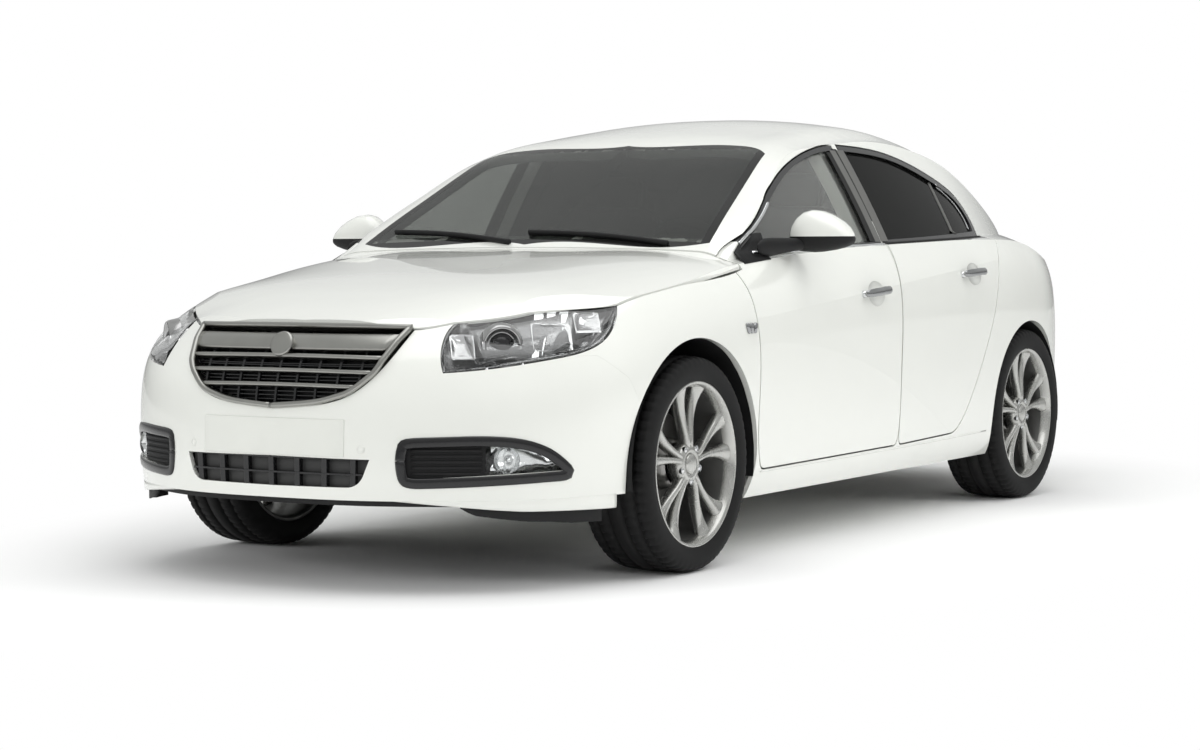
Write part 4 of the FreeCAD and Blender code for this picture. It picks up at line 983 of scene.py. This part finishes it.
def make_mirrors():
    body = "front_door_SIDE"
    for (side, sign), housing in zip(SIDES, pair("mirror_housing", mirror_housing, [PAINT, BLACK], body)):
        replaced(housing, "mirror_" + side)
    glass_rows = []
    for x, top, bottom, depth in MIRROR_STATIONS[2:-2]:
        y = MIRROR_Y + depth * 0.72 + 0.0012
        glass_rows.append([Vector((x, yy, z)) for yy, z in ((y, bottom + 0.012), (y, top - 0.012),
                                                            (y - 0.002, top - 0.012), (y - 0.002, bottom + 0.012))])
    pair("mirror_glass", lambda sign: lofted("mirror_glass", glass_rows, sign=sign), REFLECTOR, body, bevel=0.002)
    arm = [oval(Vector((x, y, z)), Vector((0, half_length, 0)), UP * half_height, 18)
           for x, y, z, half_length, half_height in MIRROR_ARM]
    pair("mirror_arm", lambda sign: lofted("arm", arm, sign=sign), BLACK, body, subdivide=1)
    side_patch("mirror_sail", [between(a, b, 8) for a, b in MIRROR_SAIL], 0.0035, BLACK, body)


def make_repeaters():
    """Side indicator on each wing: three small upright ribs in a frame."""
    middle_y, middle_z, pitch = -1.0705, 0.753, 0.0235
    ribs = []
    for i in (-1, 0, 1):
        rows = []
        for z, grow in ((0.736, 0.5), (0.740, 0.85), (0.753, 1.0), (0.766, 1.12), (0.770, 0.6)):
            point = on_side(middle_y + i * pitch + (z - middle_z) * 0.2 * i, z)[0]
            half = 0.0092 * grow
            rows.append([point + Vector((out, along, 0)) for out, along in
                         ((-0.002, -half), (0.006 * grow, -half), (0.010 * grow, 0), (0.006 * grow, half),
                          (-0.002, half))])
        ribs.append(rows)
    pair("side_repeater", lambda sign: joined_mesh("ribs", [lofted("rib", rows, sign=sign) for rows in ribs]),
         DARK_CHROME)


make_side_trim()
make_handle("front_handle", -0.150, 0.850, 0.006, "front_door_SIDE")
make_handle("rear_handle", 0.727, 0.905, 0.003, "rear_door_SIDE")
make_mirrors()
make_repeaters()


# Wheel arches and the bumper's lower edge

def arch_liner(name, axle_y, radius, x0, x1, start):
    """Black plastic shell inside a wheel arch, from the angle start round to its front."""
    end = 188
    rows = []
    for i in range(41):
        angle = math.radians(start + (end - start) * i / 40)
        r = radius - (0.0015 if i % 4 == 0 else 0.0)
        y, z = axle_y + r * math.cos(angle), TYRE_RADIUS + r * math.sin(angle)
        rows.append([Vector((x, y, z)) for x in (x0, x0 + 0.02, (x0 + x1) / 2, x1 - 0.006, x1)])
    pair(name, lambda sign: lofted(name, rows, False, False, sign), BLACK)


arch_liner("front_arch_liner", FRONT_AXLE_Y, 0.3922, 0.474, 0.900, -10)
arch_liner("rear_arch_liner", REAR_AXLE_Y, 0.3702, 0.614, 0.893, -8)

OUTLINE_Z, OUTLINE_START_X, ARCH_Y = 0.292, 0.20, -1.842
BUMPER_EDGE_Z = 0.2815
DROP = [(0.0, 0.001), (0.40, 0.002), (0.58, 0.017), (0.72, 0.030), (0.80, 0.036), (1.10, 0.042)]
BUMPER_SKIN = surface_of("front_bumper")


def lower_outline():
    """Lower edge of the bumper in plan, from near the middle round to the wheel arch: place, normal, travel."""
    points = []
    for x in spread(OUTLINE_START_X, OUTLINE_START_X + 0.58, 30):
        point = cast(BUMPER_SKIN, (x, -3.0, OUTLINE_Z), (0, 1, 0), 3.0)[0]
        if point is not None:
            points.append(Vector((point.x, point.y, 0)))
    for y in spread(points[29].y + 0.012, ARCH_Y, 14):
        point = from_left(BUMPER_SKIN, y, OUTLINE_Z)[0]
        if point is not None and point.x > points[-1].x - 0.01:
            points.append(Vector((point.x, point.y, 0)))
    found, travel = [], OUTLINE_START_X
    for i, point in enumerate(points):
        ahead = points[min(i + 1, len(points) - 1)] - points[max(i - 1, 0)]
        if i:
            travel += (point - points[i - 1]).length
        found.append((point, Vector((ahead.y, -ahead.x, 0)).normalized(), travel))
    return found


OUTLINE = lower_outline()


def outline_row(point, normal, corners):
    return [point - normal * inset + UP * z for inset, z in corners]


def make_skirts():
    """White lower corner of the bumper: its edge drops from the middle of the car towards the wheel."""
    top, outer, inner = 0.284, 0.0015, 0.013
    rows = []
    for point, normal, travel in OUTLINE:
        low = BUMPER_EDGE_Z - interpolate(DROP, min(travel, 1.10))
        rows.append(outline_row(point, normal, ((outer, top), (outer, top - 0.5 * (top - low)),
                                                (outer + 0.001, low + 0.004), (outer + 0.003, low), (inner, low),
                                                (inner, top))))
    pair("bumper_skirt", lambda sign: lofted("skirt", rows, sign=sign), PAINT)


def make_deflectors():
    """Black rubber air deflector below the bumper, ahead of each front wheel."""
    top, front, rear = 0.2775, 0.017, 0.024
    rows = []
    for i, (point, normal, travel) in enumerate([entry for entry in OUTLINE if entry[2] > 0.60][:-3]):
        edge = BUMPER_EDGE_Z - interpolate(DROP, min(travel, 1.10))
        low = edge - (0.020 + 0.018 * min(i / 14, 1)) * min((i + 0.4) / 2, 1)
        rows.append(outline_row(point, normal, ((front, top), (front, low), (rear, low), (rear, top))))
    pair("air_deflector", lambda sign: lofted("deflector", rows, sign=sign), BLACK, bevel=0.0015)


make_skirts()
make_deflectors()


# Nose details below the grille

def patch_rows(place, xs, zs, out, depth, straight=None):
    """Sections of a thin panel: its back lies depth further in along the surface's normal, or straight behind it."""
    rows = []
    for x in xs:
        front = [place(x, z, out)[0] for z in zs]
        rear = [p - straight for p in front] if straight else [place(x, z, out - depth)[0] for z in zs]
        rows.append(front + rear[::-1])
    return rows


def nose_patch(name, xs, zs, out, depth, material, bevel=0.002):
    """Panel on the nose between two curved edges, with a thickness behind it."""
    rows = patch_rows(nose_point, xs, zs, out, depth)
    return finish_object(name, lofted(name, rows), material, "body", bevel=bevel)


nose_patch("front_plate_panel", spread(-0.260, 0.260, 21), spread(0.406, 0.516, 5), 0.0035, 0.008, BLANK_PLATE, 0.0025)
# Painted shade: a dark grey sheet behind the lower intake stands for the shaded space behind the lattice.
nose_patch("lower_grille_shade_sheet", spread(-0.335, 0.335, 25), spread(0.306, 0.408, 4), -0.020, 0.004, INTAKE_SHADE_GREY)


def make_lower_grille():
    """Wide cells of the lower intake: upright posts and three thin bars inside a dark surround."""
    bottom = 0.309
    pieces = []
    for i in range(-3, 4):
        x = i * 0.096
        pieces.append(bar_between(x * 0.985, 0.304, x, 0.407, 0.019, -0.003, 0.018))
    for z, thick in ((0.355, 0.006), (0.402, 0.008), (bottom, 0.010)):
        half = 0.300 + (z - bottom) * 0.36
        ends = spread(-half, half, 13)
        pieces += [bar_between(x0, z, x1, z, thick, -0.002, 0.016) for x0, x1 in zip(ends, ends[1:])]
    lattice = finish_object("lower_grille_posts", joined_mesh("posts", pieces), GLOSS_BLACK, "body", smooth=False,
                            bevel=0.001)
    replaced(lattice, "lower_grille")


make_lower_grille()


def sensor(sign):
    point, normal = nose_point(sign * 0.313, 0.430)
    mesh = turned("sensor", [(-0.004, 0.0125), (0.0012, 0.0125), (0.0018, 0.0118), (0.0008, 0.0110), (0.0008, 0.0098),
                             (0.0022, 0.0090), (0.0025, 0.0)], 40)
    return moved(mesh, Matrix.Translation(point) @ normal.to_track_quat("X", "Z").to_matrix().to_4x4())


pair("sensor", sensor, PAINT)

FOG_TREE = surface_of("fog_lamps", "fog_vents")
FOG_BOWL = [(0.0, 0.040), (-0.004, 0.038), (-0.014, 0.033), (-0.021, 0.022), (-0.023, 0.012), (-0.012, 0.010),
            (-0.006, 0.008), (-0.005, 0.0)]
FOG_TOP = [(0.640, 0.450), (0.720, 0.438), (0.775, 0.404), (0.800, 0.374)]
POD_EDGE = [(0.428, 0.398), (0.432, 0.430), (0.446, 0.448), (0.540, 0.453), (0.640, 0.455), (0.715, 0.447),
            (0.765, 0.424), (0.796, 0.388), (0.808, 0.352), (0.760, 0.345), (0.640, 0.338), (0.520, 0.333),
            (0.455, 0.333), (0.434, 0.348), (0.428, 0.398)]


def fog_point(x, z, back=0.0):
    point, normal = cast(FOG_TREE, (x, -3.0, z), (0, 1, 0), 3.0)
    if point is None:
        point = FOG_TREE.find_nearest(Vector((x, -2.2, z)))[0]
        normal = Vector((0.3, -0.95, 0)).normalized()
    return point - normal * back, normal


def fog_ribs():
    """Sections of the five ribs of the vent beside the lamp: (out, up) from the recess."""
    shape = ((-0.004, -0.0055), (0.0050, -0.0040), (0.0065, 0), (0.0050, 0.0040), (-0.004, 0.0055))
    ribs = []
    for z in (0.360, 0.377, 0.394, 0.411, 0.428):
        found = [fog_point(x, z) for x in spread(0.452, 0.632, 13)]
        ribs.append([[point + normal * out + UP * up for out, up in shape] for point, normal in found])
    return ribs


def fog_tray():
    sides = []
    for x in spread(0.646, 0.792, 12):
        top, low = interpolate(FOG_TOP, x), 0.348 + (x - 0.64) * 0.10
        sides.append([fog_point(x, low + (top - low) * k / 6, 0.014 + 0.020 * math.sin(math.pi * k / 6))[0]
                      for k in range(7)])
    return sides


def make_fog_lamps():
    ribs, tray = fog_ribs(), fog_tray()
    facing = Vector((0.28, -0.96, 0)).normalized()
    centre = fog_point(0.688, 0.397, 0.006)[0]
    place = Matrix.Translation(centre) @ facing.to_track_quat("X", "Z").to_matrix().to_4x4()
    lens = outer_patch("fog_lamps", Vector((0.35, -0.93, 0)), "fog_lens", 0.0, 0.3)

    def flip(sign):
        return Matrix.Diagonal((sign, 1, 1, 1))

    pair("fog_vent_ribs", lambda sign: joined_mesh("ribs", [lofted("rib", rows, sign=sign) for rows in ribs]), BLACK)
    pair("fog_reflector", lambda sign: moved(turned("bowl", FOG_BOWL, 48), flip(sign) @ place), REFLECTOR)
    pair("fog_tray", lambda sign: lofted("tray", tray, False, False, sign), REFLECTOR)
    covers = pair("fog_lens", lambda sign: moved(keep_left(lens.copy()), flip(sign)), CLEAR, thickness=0.002)
    replaced(covers[0], "fog_lamps")


def pod_point(x, z):
    """Point at the rim of the fog lamp recess, in the skin of the bumper around it."""
    for i in range(14):
        grow = 1 + 0.03 * i
        px, pz = 0.60 + (x - 0.60) * grow, 0.395 + (z - 0.395) * grow
        point, normal = cast(BUMPER_SKIN, (px, -3.0, pz), (0, 1, 0), 1.4)
        if point is not None and abs(normal.z) < 0.6:
            return Vector((x, point.y - (px - x) * normal.x / max(-normal.y, 0.3) * 0.5, z)), normal
    return nose_point(x, z)


def pod_surround():
    found = [pod_point(p.x, p.z) for p in smooth_path([Vector((x, 0, z)) for x, z in POD_EDGE], 4)]
    pair("fog_surround", lambda sign: strip("surround", *zip(*found), 0.030, 0.005, 0.004, sign), GLOSS_BLACK)


def make_wipers():
    """Two wiper arms with their blades at the foot of the windscreen."""
    tree = surface_of("windscreen", "bonnet", "body_shell")
    for name, start, end in (("wiper_left", (0.56, -0.985), (-0.02, -0.925)),
                             ("wiper_right", (-0.06, -0.990), (-0.60, -0.900))):
        points, normals = [], []
        for i, (x, y) in enumerate(between(start, end, 15)):
            point, normal = cast(tree, (x, y + 0.012 * math.sin(math.pi * i / 14), 2.0), (0, 0, -1), 3.0)
            points.append(point + normal * 0.006)
            normals.append(normal)
        finish_object(name, strip(name, points, normals, 0.016, 0.012, 0.004), BLACK, "body")


make_fog_lamps()
pod_surround()
make_wipers()


# Cabin

def lining(name, node, centre, low, high, inset, material, body="body"):
    """Skin over the faces of a CAD node that look towards the middle of a space, inside the box low to high."""
    middle = Vector(centre)
    mesh = bpy.data.meshes.new(name)
    with editing(mesh, NODES[node].data) as work:
        bmesh.ops.remove_doubles(work, verts=work.verts, dist=1e-5)
        for axis in range(3):
            split_at(work, axis, low[axis])
            split_at(work, axis, high[axis])
        lost = []
        for face in work.faces:
            place = face.calc_center_median()
            inside = all(a <= v <= b for a, v, b in zip(low, place, high))
            if not inside or face.normal.dot((middle - place).normalized()) < 0.12:
                lost.append(face)
        bmesh.ops.delete(work, geom=lost, context="FACES")
        for vertex in work.verts:
            vertex.co += (middle - vertex.co).normalized() * inset
    return finish_object(name, mesh, material, body)


lining("cabin_carpet", "body_shell", (0, 0.1, 0.9), (-0.9, -0.94, 0.2), (0.9, 1.2, 0.62), 0.003, FABRIC)
lining("cabin_side_trim", "body_shell", (0, 0.1, 0.9), (-0.9, -0.94, 0.62), (0.9, 1.2, 1.25), 0.003, DASH)
lining("roof_lining", "body_shell", (0, 0.2, 0.9), (-0.72, -0.6, 1.25), (0.72, 1.3, 1.47), 0.003, FABRIC)
lining("boot_lining", "body_shell", (0, 1.75, 0.7), (-0.85, 1.2, 0.4), (0.85, 2.39, 1.06), 0.003, FABRIC)
for side, sign in SIDES:
    for end, middle_y, start_y, end_y, top in (("front", -0.4, -1.0, 0.1, 0.985), ("rear", 0.5, 0.05, 1.1, 1.0)):
        lining("%s_door_card_%s" % (end, side), "%s_door_%s" % (end, side), (0, middle_y, 0.7), (-0.88, start_y, 0.36),
               (0.88, end_y, top), 0.004, DASH, "%s_door_%s" % (end, side))


def cushion(name, place, size, crown, channels=(), tilt=0.0, round_power=0.32):
    """Crowned pad: a rounded block whose faces bulge, whose sides pull in and whose top has sewn channels."""
    cuts, side_pull, channel_depth, fill = 18, 0.012, 0.009, 0.85
    half = Vector(size) / 2
    mesh = bpy.data.meshes.new(name)
    with editing(mesh) as work:
        bmesh.ops.create_cube(work, size=2.0)
        bmesh.ops.subdivide_edges(work, edges=work.edges[:], cuts=cuts, use_grid_fill=True)
        for vertex in work.verts:
            norm = sum(abs(c) ** (2 / round_power) for c in vertex.co) ** (round_power / 2)
            u, v, w = [c / norm for c in vertex.co]
            edge = (1 - u * u) * (1 - v * v)
            groove = sum(math.exp(-((u - at) / 0.035) ** 2) for at in channels)
            pull = side_pull * (1 - abs(w)) * (abs(u) ** 6 + abs(v) ** 6)
            z = w * half.z + math.copysign(1, w) * crown * edge - (channel_depth * groove if w > 0.3 else 0)
            vertex.co = Vector((u * (half.x - pull), v * (half.y - pull), z))
    mesh.transform(Matrix.Translation(place) @ spin(tilt, "X"))
    item = finish_object(name, mesh, FABRIC, "body", subdivide=1)
    return item


def block_base(name, half_width, profile, material, bevel, x=0.0):
    """Plain base below a seat, from its (y, z) profile of four corners."""
    mesh = mesh_from(name, [(x + a * half_width, y, z) for a in (-1, 1) for y, z in profile],
                     [(0, 1, 2, 3), (7, 6, 5, 4), (0, 4, 5, 1), (1, 5, 6, 2), (2, 6, 7, 3), (3, 7, 4, 0)])
    finish_object(name, tidy_normals(mesh), material, "body", smooth=False, bevel=bevel)


def make_front_seat(side, sign):
    x = sign * 0.38
    seat = cushion("seat_cushion_" + side, (x, -0.205, 0.545), (0.50, 0.52, 0.150), 0.018, (-0.52, 0.52), 4)
    if sign > 0:
        replaced(seat, "front_seats")
    cushion("seat_back_" + side, (x, 0.150, 0.860), (0.49, 0.62, 0.130), 0.020, (-0.5, 0.5), 73)
    for letter, lean in (("a", -1), ("b", 1)):
        cushion("seat_bolster_%s_%s" % (side, letter), (x + lean * 0.205, 0.118, 0.830), (0.085, 0.46, 0.135), 0.008,
                (), 73, 0.6)
        cushion("seat_side_%s_%s" % (side, letter), (x + lean * 0.210, -0.215, 0.575), (0.080, 0.44, 0.130), 0.008,
                (), 4, 0.6)
    cushion("head_rest_" + side, (x, 0.262, 1.205), (0.270, 0.165, 0.095), 0.012, (), 80, 0.5)
    posts = [moved(turned("post", [(-0.075, 0.0), (-0.075, 0.006), (0.03, 0.006), (0.03, 0.0)], 20),
                   Matrix.Translation((x + lean, 0.250, 1.150)) @ spin(-80, "Y")) for lean in (-0.055, 0.055)]
    finish_object("head_rest_posts_" + side, joined_mesh("posts", posts), CHROME, "body")
    block_base("seat_base_" + side, 0.21, ((-0.44, 0.262), (-0.02, 0.262), (0.0, 0.46), (-0.46, 0.46)), DASH, 0.012, x)


def make_rear_seat():
    channels = (-0.62, -0.3, 0.3, 0.62)
    bench = cushion("rear_cushion", (0, 0.665, 0.475), (1.16, 0.46, 0.150), 0.018, channels, 3)
    replaced(bench, "rear_seat")
    cushion("rear_back", (0, 0.985, 0.735), (1.14, 0.44, 0.120), 0.018, channels, 64)
    for letter, x in (("a", -0.36), ("b", 0.0), ("c", 0.36)):
        cushion("rear_head_rest_" + letter, (x, 1.112, 0.958), (0.230, 0.120, 0.075), 0.008, (), 74, 0.5)
    block_base("bench_base", 0.57, ((0.445, 0.262), (0.90, 0.262), (0.93, 0.40), (0.445, 0.40)), FABRIC, 0.01)


for side, sign in SIDES:
    make_front_seat(side, sign)
make_rear_seat()


# Steering wheel

WHEEL_FRAME = Matrix.Translation((0.38, -0.47, 0.93)) @ spin(25, "X") @ spin(90, "Z")


def make_steering_wheel():
    rows = []
    for i in range(72):
        angle = 2 * math.pi * i / 72
        outward = Vector((0, math.cos(angle), math.sin(angle)))
        thick = 0.0145 + (0.0018 if (i % 18) in (3, 4, 5) else 0.0)
        rows.append(oval(outward * 0.185, outward * thick, Vector((thick * 0.9, 0, 0)), 14))
    ring = lofted("ring", rows + [rows[0]], caps=False)
    wheel = finish_object("steering_ring", moved(ring, WHEEL_FRAME), LEATHER, "steering_wheel")
    replaced(wheel, "steering_wheel")
    boss = turned("boss", [(-0.165, 0.0), (-0.165, 0.024), (-0.036, 0.030), (-0.028, 0.062), (-0.006, 0.070),
                           (0.010, 0.066), (0.018, 0.045), (0.020, 0.0)], 64)
    arm_section = ((-0.5, -0.006), (0.5, -0.006), (0.5, 0.003), (0.3, 0.008), (-0.3, 0.008), (-0.5, 0.003))
    arms = []
    for angle in (0, math.pi, 1.5 * math.pi):
        along = Vector((0, math.cos(angle), math.sin(angle)))
        across = Vector((0, -along.z, along.y))
        arms.append(lofted("arm", [[along * r + across * (width * a) + Vector((x + b, 0, 0)) for a, b in arm_section]
                                   for r, width, x in ((0.045, 0.052, 0.006), (0.09, 0.040, 0.001),
                                                       (0.14, 0.034, -0.002), (0.178, 0.042, 0.0))]))
    finish_object("steering_boss", moved(joined_mesh("boss", [boss] + arms), WHEEL_FRAME), DASH, "steering_wheel")
    cap = turned("cap", [(0.018, 0.024), (0.0225, 0.022), (0.024, 0.0)], 48)
    finish_object("steering_centre_cap", moved(cap, WHEEL_FRAME), SATIN_CHROME, "steering_wheel")


make_steering_wheel()


# Dashboard details

def dash_box(name, x0, x1, y0, y1, z0, z1, material, bevel):
    corners = [(x, y, z) for x in (x0, x1) for y in (y0, y1) for z in (z0, z1)]
    faces = [(0, 1, 3, 2), (4, 6, 7, 5), (0, 4, 5, 1), (2, 3, 7, 6), (0, 2, 6, 4), (1, 5, 7, 3)]
    finish_object(name, tidy_normals(mesh_from(name, corners, faces)), material, "body", bevel=bevel, smooth=False)


dash_box("instrument_hood", 0.235, 0.525, -0.80, -0.645, 0.925, 0.985, DASH, 0.02)
dash_box("centre_screen", -0.11, 0.11, -0.70, -0.642, 0.885, 0.945, GLOSS_BLACK, 0.006)
dash_box("centre_panel", -0.105, 0.105, -0.66, -0.635, 0.70, 0.87, GLOSS_BLACK, 0.006)
dash_box("console_trim", -0.075, 0.075, -0.46, -0.12, 0.466, 0.478, SATIN_CHROME, 0.004)
GEAR_LEVER = [(0.0, 0.024), (0.012, 0.020), (0.05, 0.009), (0.085, 0.009), (0.09, 0.022), (0.115, 0.026),
              (0.13, 0.018), (0.133, 0.0)]
gear = moved(turned("gear", GEAR_LEVER, 40), Matrix.Translation((0, -0.36, 0.474)) @ spin(-90, "Y"))
finish_object("gear_lever", gear, LEATHER, "body")


# Tail

TAIL_TREE = surface_of("boot_lid", "rear_bumper", "body_shell", "tail_lamps")


def tail_point(x, z, out=0.0):
    point, normal = cast(TAIL_TREE, (x, 3.0, z), (0, -1, 0), 2.5)
    return point + normal * out, normal


def tail_patch(name, xs, zs, out, depth, material, body, bevel):
    rows = patch_rows(tail_point, xs, zs, out, depth, Vector((0, depth, 0)))
    finish_object(name, lofted(name, rows), material, body, bevel=bevel)


def make_tail():
    tail_patch("rear_plate_panel", spread(-0.258, 0.258, 17), spread(0.745, 0.855, 5), 0.0035, 0.006, BLANK_PLATE,
               "boot_lid", 0.0025)
    tail_patch("boot_trim_bar", spread(-0.36, 0.36, 25), spread(0.876, 0.902, 4), 0.010, 0.012, CHROME, "boot_lid",
               0.004)
    for side, sign in SIDES:
        tail_patch("rear_reflector_" + side, spread(sign * 0.50, sign * 0.66, 9), spread(0.395, 0.420, 3), 0.003,
                   0.006, RED_LENS, "body", 0.002)
        lamp_x = sign * 0.12
        tail_patch("plate_lamp_" + side, spread(lamp_x - 0.025, lamp_x + 0.025, 5), spread(0.864, 0.872, 3), 0.004,
                   0.006, CLEAR, "boot_lid", 0.001)
    tail_patch("rear_valance", spread(-0.56, 0.56, 33), spread(0.262, 0.345, 5), 0.003, 0.010, BLACK, "body", 0.003)
    for name, z in (("low", 0.905), ("high", 0.955)):
        for side, sign in SIDES:
            tail_patch("lamp_bar_%s_%s" % (name, side), spread(sign * 0.575, sign * 0.79, 13), spread(z, z + 0.010, 3),
                       -0.012, 0.006, REFLECTOR, "body", 0.001)
    tip = turned("tip", [(-0.10, 0.030), (0.0, 0.031), (0.004, 0.034), (0.022, 0.035), (0.024, 0.033), (0.020, 0.030),
                         (-0.06, 0.028)], 64)
    finish_object("exhaust_tip", moved(tip, Matrix.Translation((0.33, 2.383, 0.198)) @ spin(90, "Z")), CHROME, "body")


make_tail()


# Camera, light and floor

CAMERA_AT = (4.8284, -8.5157, 1.0317)
CAMERA_TURN, CAMERA_PITCH, CAMERA_ROLL = 31.047, 2.917, -0.241
CAMERA_LENS = 78.3


def make_camera():
    data = bpy.data.cameras.new("camera")
    data.lens = CAMERA_LENS
    data.sensor_width = 36
    camera = bpy.data.objects.new("camera", data)
    bpy.context.collection.objects.link(camera)
    camera.matrix_world = (Matrix.Translation(CAMERA_AT) @ spin(CAMERA_TURN, "Z") @ spin(90 - CAMERA_PITCH, "X")
                           @ spin(CAMERA_ROLL, "Z"))
    bpy.context.scene.camera = camera


def area_light(name, place, target, size, energy, soft=False):
    data = bpy.data.lights.new(name, "AREA")
    data.shape = "RECTANGLE"
    data.size, data.size_y = size
    data.energy = energy
    lamp = bpy.data.objects.new(name, data)
    bpy.context.collection.objects.link(lamp)
    lamp.location = place
    lamp.visible_glossy = not soft
    lamp.rotation_euler = (Vector(target) - Vector(place)).to_track_quat("-Z", "Y").to_euler()


def seen_directly(owner):
    """1 for camera rays and rays through glass, 0 for the light that falls on the object and its reflections."""
    path = add_node(owner, "ShaderNodeLightPath")
    first = add_node(owner, "ShaderNodeMath", operation="MAXIMUM")
    link(owner, path.outputs["Is Camera Ray"], first.inputs[0])
    link(owner, path.outputs["Is Transmission Ray"], first.inputs[1])
    return first.outputs[0]


def mixed_output(owner, factor, first, second, kind):
    mix = add_node(owner, "ShaderNodeMixShader")
    link(owner, factor, mix.inputs["Fac"])
    link(owner, first.outputs[0], mix.inputs[1])
    link(owner, second.outputs[0], mix.inputs[2])
    link(owner, mix.outputs[0], add_node(owner, kind).inputs["Surface"])


def make_world():
    """Grey below and pale above as light, plain white where the camera sees it."""
    world = bpy.data.worlds.new("studio")
    bpy.context.scene.world = world
    world.use_nodes = True
    world.node_tree.nodes.clear()
    plain = add_node(world, "ShaderNodeBackground", Strength=0.72)
    coords = add_node(world, "ShaderNodeTexCoord")
    split = add_node(world, "ShaderNodeSeparateXYZ")
    ramp = add_node(world, "ShaderNodeValToRGB")
    for element, place, color in zip(ramp.color_ramp.elements, (0.46, 0.62), (grey(0.16), (0.86, 0.87, 0.86))):
        element.position = place
        element.color = (*color, 1)
    half = add_node(world, "ShaderNodeMapRange", **{"From Min": -1})
    link(world, coords.outputs["Generated"], split.inputs["Vector"])
    link(world, split.outputs["Z"], half.inputs["Value"])
    link(world, half.outputs["Result"], ramp.inputs["Fac"])
    link(world, ramp.outputs["Color"], plain.inputs["Color"])
    white = add_node(world, "ShaderNodeBackground", Color=(1, 1, 1, 1), Strength=1.0)
    mixed_output(world, seen_directly(world), plain, white, "ShaderNodeOutputWorld")


def floor_material():
    material = bpy.data.materials.new("floor")
    material.use_nodes = True
    material.node_tree.nodes.clear()
    matt = add_node(material, "ShaderNodeBsdfDiffuse", Color=(0.9, 0.9, 0.9, 1))
    white = add_node(material, "ShaderNodeEmission", Strength=1.0)
    coords = add_node(material, "ShaderNodeTexCoord")
    mapping = add_node(material, "ShaderNodeMapping", Scale=(1 / 1.75, 1 / 3.05, 1))
    length = add_node(material, "ShaderNodeVectorMath", operation="LENGTH")
    fade = add_node(material, "ShaderNodeMapRange", interpolation_type="SMOOTHSTEP",
                    **{"From Min": 0.86, "From Max": 1.22})
    link(material, coords.outputs["Object"], mapping.inputs["Vector"])
    link(material, mapping.outputs["Vector"], length.inputs[0])
    link(material, length.outputs["Value"], fade.inputs["Value"])
    both = add_node(material, "ShaderNodeMath", operation="MULTIPLY")
    link(material, fade.outputs["Result"], both.inputs[0])
    link(material, seen_directly(material), both.inputs[1])
    mixed_output(material, both.outputs[0], matt, white, "ShaderNodeOutputMaterial")
    return material


def make_floor():
    """Pale floor that keeps the car's shadow near the car and turns plain white further out."""
    mesh = mesh_from("floor", [(-60, -60, 0), (60, -60, 0), (60, 60, 0), (-60, 60, 0)], [(0, 1, 2, 3)])
    floor = finish_object("floor", mesh, floor_material(), None, smooth=False)
    floor.location.z = -0.001


make_camera()
make_world()
make_floor()
area_light("overhead", (0.5, -1.0, 5.5), (0, 0, 0.8), (5.0, 7.0), 150)
area_light("front_left", (6.0, -6.5, 3.6), (0, -0.5, 0.7), (4.0, 2.5), 100, soft=True)
area_light("left_side", (6.5, 1.0, 5.0), (0.9, 0.2, 0.8), (3.0, 7.0), 205, soft=True)
area_light("front_right", (-4.5, -7.5, 2.6), (0, -1.0, 0.7), (3.5, 2.2), 150, soft=True)

bpy.context.scene.view_settings.view_transform = "Standard"
